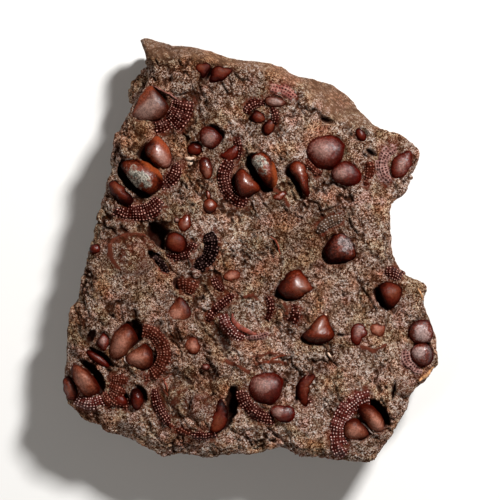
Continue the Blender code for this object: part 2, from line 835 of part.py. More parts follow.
def add_boolean(slab, name, operation, operands):
    """Cuts or joins a whole collection, keeping each piece's material."""
    modifier = slab.modifiers.new(name, "BOOLEAN")
    modifier.operation = operation
    modifier.operand_type = "COLLECTION"
    modifier.collection = operands
    modifier.solver = "EXACT"
    modifier.material_mode = "TRANSFER"


def build_plate():
    """Builds the fossil plate and everything that shapes it."""
    clear_scene()
    plate = new_collection("fossil_trilobite_plate")
    cutters = new_collection("cutters")
    lobes = new_collection("lobes")
    fringes = new_collection("fringes")
    sandstone = new_material("sandstone", (0.25, 0.15, 0.11), 0.9)
    iron_stain = new_material("iron_stained_fossil", (0.16, 0.05, 0.03), 0.5)

    slab = slab_outline(plate, sandstone)
    shape_slab(slab)

    for number, hollow in enumerate(HOLLOWS, 1):
        hollow_cutter(f"hollow_{number}", hollow, cutters, sandstone)
    side_ledge(lobes, sandstone)
    for name, head in HEADS.items():
        for number, lobe in enumerate(head.lobes, 1):
            lobe_piece(f"{name}_lobe_{number}", lobe, lobes, iron_stain)
            if lobe.gap:
                gap_cutter(f"{name}_gap_{number}", lobe, cutters, iron_stain)
        for number, fringe in enumerate(head.fringes, 1):
            fringe_piece(f"{name}_fringe_{number}", fringe, fringes, iron_stain)

    add_boolean(slab, "hollows_and_gaps", "DIFFERENCE", cutters)
    add_boolean(slab, "lobes", "UNION", lobes)
    even_out(slab, LOBED_STEP)
    thin_out(slab, LOBED_TRIANGLES)

    add_boolean(slab, "fringes", "UNION", fringes)
    apply_modifiers(slab)
    drop_chips(slab.data)
    slab.data.shade_smooth()
    slab.data.set_sharp_from_angle(angle=math.radians(SHARP_DEGREES))


build_plate()
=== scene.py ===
"""Fossil trilobite plate: the finished surface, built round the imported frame.

A broken slab of iron-stained sandstone lies on its back. Its upper face is
crowded with the moulds of small trilobites' head shields: smooth swollen lobes,
the gaps that their dissolved shells left, and curved fringes of beads or pits.

The tables hold millimetres and degrees, +X to the right of the face, +Y to its
top and +Z out of it. Meshes are made in millimetres and finished in metres.
"""

import logging
import math
from dataclasses import dataclass, field
from enum import Enum
from typing import Callable, Optional, Union

import bpy
import numpy as np
from mathutils import Matrix, Vector, noise


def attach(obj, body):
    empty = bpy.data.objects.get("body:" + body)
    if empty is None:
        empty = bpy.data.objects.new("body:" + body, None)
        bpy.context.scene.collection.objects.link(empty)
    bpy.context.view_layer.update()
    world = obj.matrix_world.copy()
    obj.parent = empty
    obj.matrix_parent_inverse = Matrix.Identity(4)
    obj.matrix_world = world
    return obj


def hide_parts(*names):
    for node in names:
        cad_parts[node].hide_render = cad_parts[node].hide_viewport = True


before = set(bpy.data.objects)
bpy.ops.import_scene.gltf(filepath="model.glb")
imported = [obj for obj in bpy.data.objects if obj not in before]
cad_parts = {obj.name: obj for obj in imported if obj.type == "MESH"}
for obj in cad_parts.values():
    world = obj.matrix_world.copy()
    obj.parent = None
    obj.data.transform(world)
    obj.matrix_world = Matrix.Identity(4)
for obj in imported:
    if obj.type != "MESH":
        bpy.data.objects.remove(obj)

LOG = logging.getLogger("fossil_plate")
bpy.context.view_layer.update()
MM = 0.001

# What the frame calls the body and the rock's node.
BODY = "root"
ROCK_NODE = "fossil_plate"

# Edges flatter than this, in degrees, are shaded smooth.
ROCK_SMOOTH_BELOW = 180
STAIN_SMOOTH_BELOW = 60

# How round a lobe's top is, and how fast it falls to its foot.
DOME_FULLNESS = 2.1
DOME_FALL = 0.74
# How much of a lobe's side past its cut is pressed in, and how its painted shade fades.
STEEP_PRESS = 0.62
STEEP_START = 0.85
STEEP_FADE = 1.6
# How far the bloom, a painted sheen in part, lies off the crown towards the lit side,
# as a share of the lobe's reach.
BLOOM_SHIFT = 0.38
# How many directions an outline is measured in, and how often it is rounded off.
OUTLINE_STEPS = 144
OUTLINE_ROUNDING = 10

# Where the Mix node keeps its colours, whose sockets share their names.
MIX_SHARE, MIX_FIRST, MIX_SECOND, MIX_RESULT = 0, 6, 7, 2

Colour = tuple[float, float, float]
Path = tuple[tuple[float, float], ...]
SocketValue = Union[float, tuple, bpy.types.NodeSocket]


# ------------------------------------------------------------------ finishes


@dataclass(frozen=True)
class Patch:
    """Soft patches that tint the rock. amount is how strong they are at most."""

    tint: Colour
    size: float
    threshold: float
    amount: float


@dataclass(frozen=True)
class StoneGrain:
    """The sandstone: what its grains and its stains look like.

    Tones run from the darkest grains to the palest, each with its place on a
    scale from 0 to 1. A name that ends in _share says how much of that colour
    covers the rock where it is strongest.
    """

    name: str = "iron_stained_sandstone"
    grain_size: float = 0.28
    fine_size: float = 0.15
    grain_warp: float = 0.9
    smear_size: float = 0.8
    smear: float = 0.13
    tone_span: tuple[float, float] = (0.22, 0.80)
    # The palest tones are partly painted glints, standing in for the grains' sparkle.
    tones: tuple[tuple[float, Colour], ...] = (
        (0.00, (0.030, 0.009, 0.004)),
        (0.18, (0.120, 0.041, 0.019)),
        (0.45, (0.345, 0.182, 0.118)),
        (0.70, (0.580, 0.375, 0.280)),
        (0.88, (0.740, 0.575, 0.485)),
        (1.00, (0.890, 0.800, 0.750)),
    )
    patches: tuple[Patch, ...] = (
        Patch((0.96, 1.00, 0.98), 9.0, 0.50, 0.8),  # grey
        Patch((1.06, 0.78, 0.62), 6.0, 0.52, 0.8),  # rust
        Patch((1.10, 0.86, 0.84), 4.0, 0.53, 0.8),  # pink
        Patch((0.98, 0.93, 0.72), 5.0, 0.50, 0.8),  # olive
        Patch((0.50, 0.44, 0.36), 2.6, 0.52, 0.85),  # shade
    )
    dark_tint: Colour = (0.60, 0.50, 0.41)
    # The pores' colour, also laid on the crevices of the relief as painted shade.
    pore: Colour = (0.030, 0.0070, 0.0018)
    crevice_shade_share: float = 0.94
    stain: Colour = (0.105, 0.020, 0.010)
    stain_share: float = 0.85
    band: Colour = (0.130, 0.032, 0.017)
    # Painted shade: the hollows and the gaps beside the lobes, almost black.
    hollow: Colour = (0.016, 0.0028, 0.0016)
    hollow_shade_share: float = 0.96
    rind_dark: Colour = (0.072, 0.036, 0.020)
    rind_pale: Colour = (0.120, 0.061, 0.034)
    rind_share: float = 0.9
    gleam: Colour = (1.00, 0.66, 0.48)
    gloss: float = 0.04
    relief: float = 0.24
    roughness: float = 0.62
    hollow_roughness: float = 0.45


@dataclass(frozen=True)
class Glaze:
    """The iron-oxide skin of a smooth lobe.

    The colours are the flanks', darkened as a painted shade low down and away
    from the lit side; the slopes'; the bloom on the crown, partly a painted sheen on
    the lit side; the bare edge's, which on the violet skin is a darker painted shade on
    the side away from the light; and a crust's that covers the crown, which on the
    dusky skin is a painted grey sheen. The bloom is wider for a smaller spread, and
    gloss is how much it shines.
    """

    deep: Colour
    body: Colour
    haze_and_sheen: Colour
    rim: Colour
    roughness: float
    spread: float
    gloss: float
    grain: float = 0.25
    coat_and_sheen: Optional[Colour] = None


@dataclass(frozen=True)
class Lace:
    """The skin of a fringe: its floor, its slopes and its raised parts."""

    floor: Colour
    slope: Colour
    raised: Colour
    roughness: float
    pitted: bool = False


@dataclass(frozen=True)
class EdgeSkin:
    """The skin of a thin edge, a sliver or a chip."""

    colour: Colour
    roughness: float


class Finish(Enum):
    """The skins that the lobes wear."""

    AMBER = Glaze((0.026, 0.0018, 0.0007), (0.105, 0.012, 0.003), (0.165, 0.055, 0.034),
                  (0.230, 0.044, 0.012), 0.27, 0.40, 0.80)
    DARK_RED = Glaze((0.009, 0.0005, 0.0002), (0.060, 0.004, 0.0015), (0.085, 0.011, 0.005),
                     (0.160, 0.024, 0.010), 0.26, 0.44, 0.25)
    # On VIOLET the rim is darker than the body: a painted shade on the side away from the light.
    VIOLET = Glaze((0.028, 0.0014, 0.0005), (0.085, 0.010, 0.005), (0.215, 0.104, 0.084),
                   (0.050, 0.0024, 0.0010), 0.30, 0.36, 0.60, 0.4)
    SHEEN = Glaze((0.028, 0.0014, 0.0005), (0.105, 0.016, 0.008), (0.330, 0.220, 0.200),
                  (0.050, 0.0024, 0.0010), 0.24, 0.34, 1.00, 0.4)
    TAN_ROSE = Glaze((0.030, 0.0024, 0.0008), (0.130, 0.030, 0.014), (0.285, 0.114, 0.076),
                     (0.150, 0.028, 0.010), 0.42, 0.34, 0.15)
    BRIGHT_ROSE = Glaze((0.024, 0.0014, 0.0004), (0.130, 0.022, 0.008),
                        (0.275, 0.130, 0.100), (0.180, 0.032, 0.011), 0.27, 0.34, 0.85)
    GREY_HAZE = Glaze((0.026, 0.003, 0.001), (0.105, 0.032, 0.020), (0.180, 0.098, 0.078),
                      (0.150, 0.028, 0.010), 0.38, 0.22, 0.45, 0.35)
    # DUSKY's coat colour is a painted grey sheen on the lit side.
    DUSKY = Glaze((0.010, 0.0006, 0.0003), (0.100, 0.015, 0.006), (0.150, 0.084, 0.074),
                  (0.060, 0.006, 0.003), 0.36, 0.38, 0.30, 0.7, coat_and_sheen=(0.195, 0.148, 0.142))
    EMBER = Glaze((0.008, 0.0005, 0.0002), (0.062, 0.007, 0.003), (0.098, 0.020, 0.008),
                  (0.085, 0.015, 0.006), 0.36, 0.40, 0.12)
    COATED = Glaze((0.012, 0.0006, 0.0003), (0.120, 0.016, 0.004), (0.180, 0.042, 0.014),
                   (0.190, 0.036, 0.010), 0.27, 0.40, 0.45, coat_and_sheen=(0.255, 0.228, 0.186))
    ROCK = Glaze((0, 0, 0), (0, 0, 0), (0, 0, 0), (0, 0, 0), 0.8, 0.5, 0.0)


class Weave(Enum):
    """The skins that the fringes wear."""

    # On the bead weaves the pale raised colour is partly a painted highlight on the beads' tips.
    RED_BEADS = Lace((0.016, 0.0014, 0.0007), (0.072, 0.011, 0.006),
                     (0.560, 0.290, 0.235), 0.36)
    BROWN_BEADS = Lace((0.034, 0.0050, 0.002), (0.110, 0.027, 0.016),
                       (0.360, 0.165, 0.118), 0.40)
    ROSE_BEADS = Lace((0.050, 0.0060, 0.004), (0.165, 0.048, 0.034),
                      (0.760, 0.530, 0.480), 0.34)
    BLACK_BEADS = Lace((0.002, 0.0004, 0.0003), (0.006, 0.001, 0.001),
                       (0.200, 0.110, 0.095), 0.40)
    ROSE_MESH = Lace((0.022, 0.004, 0.004), (0.110, 0.038, 0.030),
                     (0.340, 0.200, 0.175), 0.48, pitted=True)
    CRIMSON_MESH = Lace((0.060, 0.005, 0.007), (0.170, 0.045, 0.036),
                        (0.340, 0.175, 0.140), 0.48, pitted=True)
    GREY_MESH = Lace((0.060, 0.030, 0.018), (0.170, 0.110, 0.084),
                     (0.380, 0.320, 0.285), 0.60)


class Trim(Enum):
    """The skins of thin edges, slivers and chips."""

    # The pale edges catch the light: their colour is partly a painted highlight.
    PALE_LIT_EDGE = EdgeSkin((0.520, 0.400, 0.350), 0.35)
    ROSE_EDGE = EdgeSkin((0.200, 0.070, 0.052), 0.40)
    RED_SLIVER = EdgeSkin((0.210, 0.038, 0.016), 0.34)
    RUST_BAND = EdgeSkin((0.190, 0.038, 0.022), 0.55)
    AMBER_LENS = EdgeSkin((0.480, 0.240, 0.110), 0.25)
    CREAM_CHIP = EdgeSkin((0.600, 0.420, 0.310), 0.45)


# ----------------------------------------------------------- what is on the face


@dataclass(frozen=True)
class Gap:
    """The space that the dissolved shell left beside a lobe, on one side of it."""

    side: float
    width: float
    depth: float


@dataclass(frozen=True)
class Lobe:
    """A smooth swelling. Its length and its narrow end lie along heading.

    rim is the direction in which its bare edge shows, which on violet lobes is a
    darker painted shade, and lit the direction in which its bloom lies, partly a
    painted sheen on the lit side, with the flanks away from it painted darker as a
    shade. cut is the share of its reach at which its sheer side begins, beside the
    gap, where the lobe is also painted darker as a shade. An outline takes the place
    of the ellipse, with the lobe's top at (x, y).
    """

    x: float
    y: float
    length: float
    width: float
    height: float
    gap: Optional[Gap] = None
    finish: Finish = Finish.AMBER
    heading: float = 0.0
    narrowing: float = 0.0
    rim: Optional[float] = None
    lit: Optional[float] = None
    cut: float = 0.72
    outline: Path = ()


@dataclass(frozen=True)
class Fringe:
    """A lacy band round (x, y), from one direction to another in degrees."""

    x: float
    y: float
    inner: float
    outer: float
    start: float
    end: float
    weave: Weave = Weave.RED_BEADS


@dataclass(frozen=True)
class Swell:
    """A broad rise of the face, or a dip where rise is negative."""

    x: float
    y: float
    radius: float
    rise: float


@dataclass(frozen=True)
class Hollow:
    """A pit or a cleft in the rock. Its length runs along heading.

    Where side is given, the hollow is deep in that direction alone.
    """

    x: float
    y: float
    length: float
    width: float
    heading: float
    depth: float
    outline: Path = ()
    side: Optional[float] = None


@dataclass(frozen=True)
class Edge:
    """A thin ridge along a path on the rock, thickest in its middle.

    tall is its height as a share of its thickness.
    """

    path: Path
    thickness: float
    trim: Trim
    tall: float = 1.3


@dataclass(frozen=True)
class Head:
    """One head shield, or the part of one that the rock shows."""

    lobes: tuple[Lobe, ...]
    fringes: tuple[Fringe, ...] = ()


# The broken outline seen from above, clockwise from the upper left tip.
OUTLINE = (
    (-22.6, 42.4), (-21.4, 42.7), (-20.1, 42.1), (-18.1, 41.8), (-16.2, 41.0),
    (-13.2, 40.7), (-11.1, 40.5), (-7.8, 39.5), (-3.9, 38.1), (-1.2, 37.7), (3.4, 37.3),
    (6.3, 36.4), (8.9, 34.7), (12.2, 34.1), (16.4, 33.1), (19.8, 30.2), (22.1, 27.0),
    (25.4, 24.3), (28.8, 23.2), (31.8, 21.2), (33.9, 19.6), (33.4, 17.8), (31.6, 13.6),
    (29.8, 10.6), (28.4, 9.6), (27.6, 8.2), (27.6, 6.0), (27.8, 0.4), (28.6, -1.8),
    (29.8, -4.0), (30.9, -5.2), (32.8, -5.7), (34.1, -6.2), (35.4, -7.2), (34.8, -8.8),
    (34.4, -10.2), (35.8, -14.0), (37.1, -17.6), (37.0, -19.6), (37.5, -21.4),
    (37.0, -23.0), (35.0, -25.6), (34.0, -26.6), (33.0, -26.8), (31.4, -30.4),
    (30.6, -32.6), (28.4, -36.2), (25.8, -40.0), (24.8, -41.8), (23.6, -42.8),
    (20.8, -42.2), (15.8, -41.9), (9.8, -41.6), (8.3, -40.6), (6.5, -39.4), (4.8, -39.3),
    (0.8, -40.4), (-4.7, -40.8), (-8.8, -41.4), (-11.8, -40.8), (-14.2, -40.7),
    (-17.2, -41.6), (-19.4, -40.2), (-24.2, -37.8), (-29.2, -36.0), (-30.4, -35.0),
    (-33.5, -34.0), (-36.0, -31.6), (-37.0, -30.0), (-37.5, -26.0), (-36.9, -21.0),
    (-36.5, -16.0), (-36.0, -13.6), (-36.2, -12.2), (-34.5, -10.0), (-34.6, -8.6),
    (-33.0, -2.0), (-31.4, 2.4), (-31.1, 6.4), (-30.1, 8.2), (-29.9, 10.0), (-28.9, 12.0),
    (-29.2, 13.2), (-27.9, 15.6), (-28.1, 18.0), (-27.1, 22.4), (-24.9, 26.8),
    (-22.4, 30.4), (-20.2, 33.6), (-20.4, 37.6), (-21.4, 38.0), (-21.1, 39.0),
    (-21.6, 40.4),
)

# Where the fossil face ends and the weathered slope along the top begins.
FACE_EDGE = (
    (-22.2, 38.0), (-18.2, 37.8), (-12.2, 38.0), (-7.2, 37.0), (-4.2, 36.2), (1.4, 35.4),
    (3.8, 34.8), (6.3, 33.6), (9.2, 32.2), (10.3, 31.0), (12.3, 28.8), (14.2, 26.8),
    (16.1, 25.6), (18.1, 24.6), (20.1, 24.0), (24.1, 23.8), (27.8, 23.8),
)
# Closes the area of the fossil face well outside the slab.
BEYOND_SLAB = ((60.0, 23.8), (60.0, -60.0), (-60.0, -60.0), (-60.0, 38.0))

# Broad rises of the fossil face, and dips in it.
SWELLS = (
    Swell(-15.0, -3.0, 5.0, -1.0),
    Swell(0.0, -13.0, 6.0, -0.8),
    Swell(8.0, 25.0, 8.0, 0.6),
    Swell(25.0, 10.0, 10.0, 0.8),
    Swell(20.0, -35.0, 8.0, 0.6),
    Swell(-10.0, -35.0, 8.0, 0.5),
    Swell(-33.0, -25.0, 6.0, -0.8),
)

# Where the rock is darker and more craggy, or paler and smoother where negative.
SHADES = (
    Swell(-27.0, -9.0, 12.0, 0.18),
    Swell(-8.0, 31.0, 12.0, 0.18),
    Swell(-14.0, 40.0, 5.0, 0.25),
    Swell(10.0, 20.0, 9.0, -0.30),
    Swell(-4.5, 5.0, 6.5, -0.45),
    Swell(-18.0, 8.0, 7.0, 0.30),
    Swell(-16.0, -38.0, 9.0, -0.50),
    Swell(-29.0, -36.0, 7.0, 0.05),
    Swell(2.0, -38.0, 7.0, -0.25),
    Swell(-4.4, 27.0, 2.6, -0.35),
    Swell(11.0, 1.5, 9.5, 0.55),
    Swell(27.0, 12.0, 8.0, -0.40),
    Swell(12.0, -36.0, 9.0, -0.30),
    Swell(16.0, -9.0, 6.5, -0.25),
    Swell(2.0, -23.0, 7.0, -0.25),
    Swell(-10.0, -26.0, 6.0, 0.45),
    Swell(14.0, -21.0, 5.0, 0.20),
    Swell(27.0, -22.0, 8.0, -0.30),
)

# Pits and clefts in the rock that belong to no lobe.
HOLLOWS = (
    Hollow(-8.5, 35.4, 4, 1.4, 65, 2),
    Hollow(14.8, 26.0, 4.4, 1.6, -20, 1.5),
    Hollow(23.9, 19.4, 3.6, 1.4, -35, 1.5),
    Hollow(-18.9, 3.6, 4.8, 3.6, -60, 3.2),
    Hollow(-17.9, -2.4, 7.0, 1.6, -38, 0.5),
    Hollow(-14.7, -6.6, 2, 2.8, 0, 1),
    Hollow(-6.0, -17.0, 8.0, 2.0, 0, 1.1,
           ((-8.2, -13.2), (-7.7, -13.2), (-6.8, -14.8), (-5.8, -16.8), (-4.2, -18.2),
            (-4.0, -19.4), (-5.2, -20.4), (-6.0, -19.6), (-6.8, -17.8), (-7.8, -15.6))),
    Hollow(-32.2, -17.6, 1.8, 3.8, -28, 1.6),
    Hollow(-29.8, -21.4, 4.0, 2.0, -40, 1.6),
    Hollow(-26.6, -28.4, 3.0, 2.0, -40, 1.6),
    Hollow(-9.8, -24.8, 3.2, 1.2, -50, 0.8),
    Hollow(2.4, -1.0, 3.6, 1.2, -15, 1),
    Hollow(-3.8, -31.0, 8, 2.4, 0, 3.6,
           ((-3.9, -26.8), (-2.9, -27.2), (-2.6, -29.6), (-2.9, -31.6),
            (-3.6, -33.6), (-4.7, -35.6), (-5.8, -37.2), (-6.5, -36.4),
            (-5.5, -34.8), (-4.8, -32.8), (-4.8, -30.8), (-4.5, -28.4))),
    Hollow(-12.6, -30.4, 5.0, 1.4, 75, 0.6),
    Hollow(-13.2, -25.8, 6.4, 1.6, -22, 0.8),
    Hollow(6.0, -38.0, 8.6, 1.0, -42, 0.6),
    Hollow(28.5, -27.9, 4.6, 0.9, 82, 0.9),
    Hollow(0.1, -36.2, 6.8, 1.2, 0, 0.7),
    Hollow(9.3, -28.2, 5.6, 1.0, 80, 0.9),
    Hollow(26.9, -14.2, 4.4, 1.0, 80, 0.8),
    Hollow(22.6, 19.0, 4.0, 1.0, -30, 0.9),
    Hollow(18.4, -17.0, 2.8, 1, 0, 0.8),
)

# The head shields and the parts of them, each a piece of its own. Directions run
# anticlockwise from the right of the face.
HEADS = {
    "upper_left_shield": Head((
        Lobe(-19.2, 29.4, 7.2, 6.2, 1.8, Gap(40, 0.5, 1.2), Finish.GREY_HAZE, rim=150, lit=205,
             cut=0.71,
             outline=((-20.4, 32.8), (-18.6, 31.6), (-17.2, 30.2), (-16.4, 28.8), (-16.6, 27.4),
                      (-17.9, 26.4), (-20.2, 25.8), (-22.6, 25.8), (-24.1, 26.6), (-22.9, 29.0),
                      (-21.6, 31.4))),
    ), (
        Fringe(-20.2, 30.4, 4.2, 9.0, -52, -4),
        Fringe(-20.2, 30.4, 4.2, 7.6, -86, -52),
    )),
    "left_twin_shield": Head((
        Lobe(-19.2, 19.2, 7.4, 5.6, 2.4, Gap(190, 1.8, 2.2), Finish.BRIGHT_ROSE, rim=50,
             lit=-25, cut=0.78,
             outline=((-18.9, 23.0), (-17.4, 21.6), (-16.2, 19.8), (-15.7, 18.2), (-16.2, 16.6),
                      (-17.4, 16.0), (-18.9, 17.0), (-20.4, 18.2), (-21.6, 19.2), (-21.2, 20.6),
                      (-20.1, 21.8))),
    ), (
        Fringe(-19.2, 17.0, 2.8, 5.8, -75, 10),
    )),
    "coated_left_shield": Head((
        Lobe(-21.2, 14.8, 8.6, 6.0, 2.7, Gap(215, 1.6, 3.2), Finish.COATED, rim=50, lit=215,
             cut=0.9,
             outline=((-25.9, 17.8), (-23.9, 18.4), (-21.6, 17.8), (-19.6, 16.6), (-18.1, 15.6),
                      (-17.6, 13.8), (-18.2, 12.0), (-19.9, 11.0), (-21.6, 11.8), (-23.6, 13.2),
                      (-25.1, 14.8), (-26.1, 16.4))),
        Lobe(-26.4, 11.6, 6.4, 3.0, 1.5, finish=Finish.EMBER, lit=110,
             outline=((-28.6, 13.4), (-27.6, 14.0), (-26.4, 13.2), (-25.1, 11.6), (-23.4, 10.0),
                      (-24.1, 8.8), (-25.4, 9.0), (-27.1, 10.4), (-28.2, 12.0))),
    ), (
        Fringe(-23.1, 14.0, 4.8, 8.4, -125, -38),
    )),
    "twin_button": Head((
        Lobe(-7.7, 22.9, 5.0, 4.2, 1.5, Gap(45, 0.9, 1.6), Finish.VIOLET, lit=225, cut=0.85,
             outline=((-10.2, 24.0), (-9.1, 24.6), (-7.7, 24.4), (-6.5, 23.4), (-5.8, 22.2),
                      (-6.5, 21.0), (-7.7, 20.2), (-9.1, 20.4), (-10.1, 21.4), (-10.4, 22.8))),
        Lobe(-11.2, 20.4, 3.2, 2.2, 0.8, Gap(80, 0.5, 0.8), Finish.DARK_RED, lit=250, cut=0.88,
             outline=((-12.8, 20.4), (-12.1, 21.2), (-10.8, 21.2), (-9.8, 20.2), (-10.2, 19.2),
                      (-11.7, 19.0), (-12.7, 19.4))),
        Lobe(-8.9, 16.4, 5.0, 2.4, 1.0, Gap(10, 0.5, 1.0), lit=-80, cut=0.76,
             outline=((-10.2, 18.4), (-9.1, 18.6), (-8.1, 17.4), (-7.8, 15.6), (-8.2, 14.2),
                      (-9.1, 14.0), (-9.8, 15.2), (-10.4, 16.8))),
    )),
    "bead": Head((
        Lobe(-8.3, 8.7, 3.1, 3.1, 1.2, lit=80),
        Lobe(-8.6, 11.0, 2.0, 0.9, 0.4, heading=100),
    )),
    "amber_shield": Head((
        Lobe(-1.3, 13.4, 6.6, 5.2, 2.4, Gap(195, 0.2, 2.4), lit=40, cut=0.35,
             outline=((-1.9, 16.4), (-0.8, 15.4), (0.3, 14.0), (1.8, 12.4), (2.1, 12.0),
                      (0.6, 11.2), (-1.1, 10.4), (-2.6, 10.2), (-3.9, 10.8), (-4.5, 12.4),
                      (-4.0, 14.2), (-3.0, 15.6))),
        Lobe(-4.0, 19.2, 4.6, 2.6, 0.9, finish=Finish.DARK_RED,
             outline=((-6.7, 18.8), (-5.2, 19.6), (-3.9, 20.6), (-2.2, 21.6), (-1.9, 20.4),
                      (-2.5, 19.2), (-3.5, 18.0), (-4.5, 17.2), (-5.5, 18.2))),
    ), (
        Fringe(-0.7, 14.4, 3.3, 6.2, 130, 268),
        Fringe(-7.2, 20.0, 3.6, 5.6, -25, 30),
    )),
    "coated_centre_lobe": Head((
        Lobe(2.8, 16.2, 8.0, 4.2, 2.6, Gap(212, 1.7, 3.2), Finish.COATED, rim=-10, lit=160,
             cut=0.9,
             outline=((0.1, 18.8), (0.9, 19.6), (1.9, 19.8), (3.1, 19.2), (4.2, 18.0),
                      (5.0, 16.4), (5.3, 14.6), (5.2, 13.0), (4.5, 12.1), (3.5, 12.4),
                      (2.4, 13.6), (1.4, 15.0), (0.6, 16.6), (-0.1, 18.0))),
    )),
    "slender_lobe": Head((
        Lobe(9.6, 15.3, 7.6, 2.6, 1.5, Gap(210, 1.2, 2.0), lit=60, cut=0.88,
             outline=((8.0, 17.4), (9.3, 18.0), (10.3, 17.4), (10.9, 15.6), (11.3, 13.4),
                      (11.6, 11.4), (11.8, 10.2), (10.9, 10.2), (10.2, 11.8), (9.6, 13.6),
                      (8.6, 14.8), (7.5, 16.2))),
        Lobe(5.5, 10.6, 3.0, 1.4, 0.5,
             outline=((4.2, 10.4), (5.3, 11.2), (7.2, 11.4), (6.5, 10.6), (5.2, 10.0))),
    )),
    "broad_violet_shield": Head((
        Lobe(15.8, 19.5, 8.0, 6.6, 2.3, Gap(-10, 0.5, 1.0), Finish.VIOLET, rim=-20, lit=160,
             cut=0.85,
             outline=((10.9, 20.0), (11.3, 21.4), (12.6, 22.4), (14.3, 22.8), (16.6, 22.8),
                      (18.1, 21.8), (18.9, 20.4), (18.6, 18.8), (17.6, 17.4), (16.4, 16.2),
                      (14.8, 16.0), (12.9, 16.8), (11.6, 18.2))),
        Lobe(18.8, 15.4, 6.4, 4.4, 1.8, finish=Finish.VIOLET, rim=-20, lit=185,
             outline=((15.8, 15.2), (16.9, 16.8), (18.6, 17.8), (20.1, 17.4), (21.6, 16.0),
                      (22.1, 14.4), (21.6, 13.4), (19.8, 12.8), (17.9, 13.2), (16.4, 14.0))),
    ), (
        Fringe(15.8, 20.0, 3.8, 6, 200, 250, Weave.BROWN_BEADS),
        Fringe(18.8, 16.0, 3.8, 5.8, -40, 20, Weave.BROWN_BEADS),
    )),
    "right_corner_shield": Head((
        Lobe(30.1, 17.0, 5.6, 4.0, 0.9, finish=Finish.VIOLET,
             outline=((28.1, 17.0), (28.9, 18.8), (30.4, 19.4), (31.9, 20.0), (32.1, 18.0),
                      (31.4, 16.0), (30.1, 14.4), (28.6, 14.2), (27.9, 15.6))),
        Lobe(21.9, 23.0, 3, 2, 0.7, Gap(50, 0.6, 0.8), Finish.DARK_RED, heading=-60),
    ), (
        Fringe(30.1, 17.0, 2.4, 5.4, 105, 235, Weave.ROSE_MESH),
    )),
    "top_small_shield": Head((
        Lobe(4.8, 29.6, 4.4, 2.2, 0.6, Gap(80, 0.6, 1), Finish.GREY_HAZE, heading=-8,
             narrowing=0.25, cut=0.8),
        Lobe(1.3, 26.5, 3.4, 2.6, 0.6, Gap(150, 0.6, 1.4), Finish.EMBER, heading=-20,
             narrowing=0.2, lit=0),
        Lobe(3.5, 24.6, 3.8, 2.4, 0.6, Gap(200, 0.6, 0.8), Finish.EMBER, heading=60,
             narrowing=0.2, lit=0),
    ), (
        Fringe(1.4, 26.8, 1.6, 3.6, 60, 170),
        Fringe(1.4, 26.4, 2.4, 4.2, -30, 40),
    )),
    "pink_fringe": Head((), (
        Fringe(3.8, 26.2, 5, 7.4, 40, 92, Weave.CRIMSON_MESH),
    )),
    "dark_socket_shield": Head((
        Lobe(-15.5, 1.9, 4.6, 4.2, 0.9, Gap(165, 2.6, 3.4), Finish.EMBER, cut=0.71,
             outline=((-17.4, 2.2), (-16.4, 3.4), (-14.4, 3.5), (-13.2, 2.6), (-12.8, 0.8),
                      (-13.2, -0.5), (-15.0, -0.7), (-16.6, -0.1), (-17.4, 0.9))),
        Lobe(-13.3, 5.0, 3.4, 2.2, 0.7,
             outline=((-14.7, 4.6), (-13.8, 6.6), (-12.7, 7.4), (-12.2, 5.8), (-12.7, 4.0),
                      (-13.8, 3.6))),
        Lobe(-14.9, 6.0, 1.2, 1.2, 0.6, finish=Finish.GREY_HAZE),
    ), (
        Fringe(-15.1, 2.4, 2.6, 4.6, 240, 345),
        Fringe(-24.7, -8.9, 8.2, 9.8, 27, 64, Weave.BLACK_BEADS),
        Fringe(-12.2, 1.0, 2.8, 5.8, -84, 38, Weave.BLACK_BEADS),
    )),
    "low_left_dome": Head((
        Lobe(-23.6, -0.8, 10, 8.4, 1, finish=Finish.ROCK),
        Lobe(-31.2, 0.2, 2.4, 2, 0.8, finish=Finish.DARK_RED),
    )),
    "ring_fragment": Head((
        Lobe(-4.0, -5.2, 3.6, 2.2, 0.35, finish=Finish.TAN_ROSE,
             outline=((-5.7, -5.4), (-4.8, -4.4), (-3.5, -4.0), (-2.2, -4.4), (-2.0, -5.4),
                      (-3.5, -6.0), (-4.8, -6.2))),
        Lobe(-14.0, -12.4, 4.8, 5.0, 0.8, finish=Finish.TAN_ROSE, lit=200,
             outline=((-16.6, -12.4), (-15.4, -10.6), (-14.1, -9.2), (-13.1, -10.2),
                      (-12.2, -11.6), (-11.8, -13.6), (-13.1, -14.2), (-14.7, -14.3),
                      (-16.1, -14.1))),
    ), (
        Fringe(-13.1, -11.2, 2.4, 5.6, 58, 110, Weave.BROWN_BEADS),
        Fringe(-3.9, -5.0, 2.4, 4.4, 190, 245),
    )),
    "open_ring": Head((), (
        Fringe(-0.2, -18.0, 8.3, 10.2, 108, 156),
        Fringe(0.3, -11.8, 4.9, 7.3, 190, 254, Weave.ROSE_BEADS),
        Fringe(0.3, -11.8, 4.9, 6.5, 254, 304, Weave.ROSE_MESH),
        Fringe(0.3, -11.6, 2.8, 4.4, -42, 42),
        Fringe(4.8, -12.0, 2.8, 5.2, -38, 22),
    )),
    "grainy_lobe": Head((
        Lobe(18.2, 0.7, 7.2, 6.2, 1.5, Gap(205, 0.4, 2.0), Finish.DUSKY, lit=45, cut=0.78,
             outline=((17.9, 3.5), (19.1, 2.8), (20.1, 1.4), (20.9, -0.2), (21.1, -1.4),
                      (20.1, -2.2), (18.4, -2.4), (16.4, -2.7), (14.8, -2.6), (14.1, -1.6),
                      (14.3, 0.0), (15.3, 1.6), (16.6, 3.0))),
    ), (
        Fringe(18.2, 0.7, 4.4, 6.6, 88, 150, Weave.GREY_MESH),
    )),
    "ridged_lobe": Head((
        Lobe(8.7, -7.4, 7.6, 5.4, 2.3, Gap(215, 0.2, 2.2), lit=10, cut=0.64,
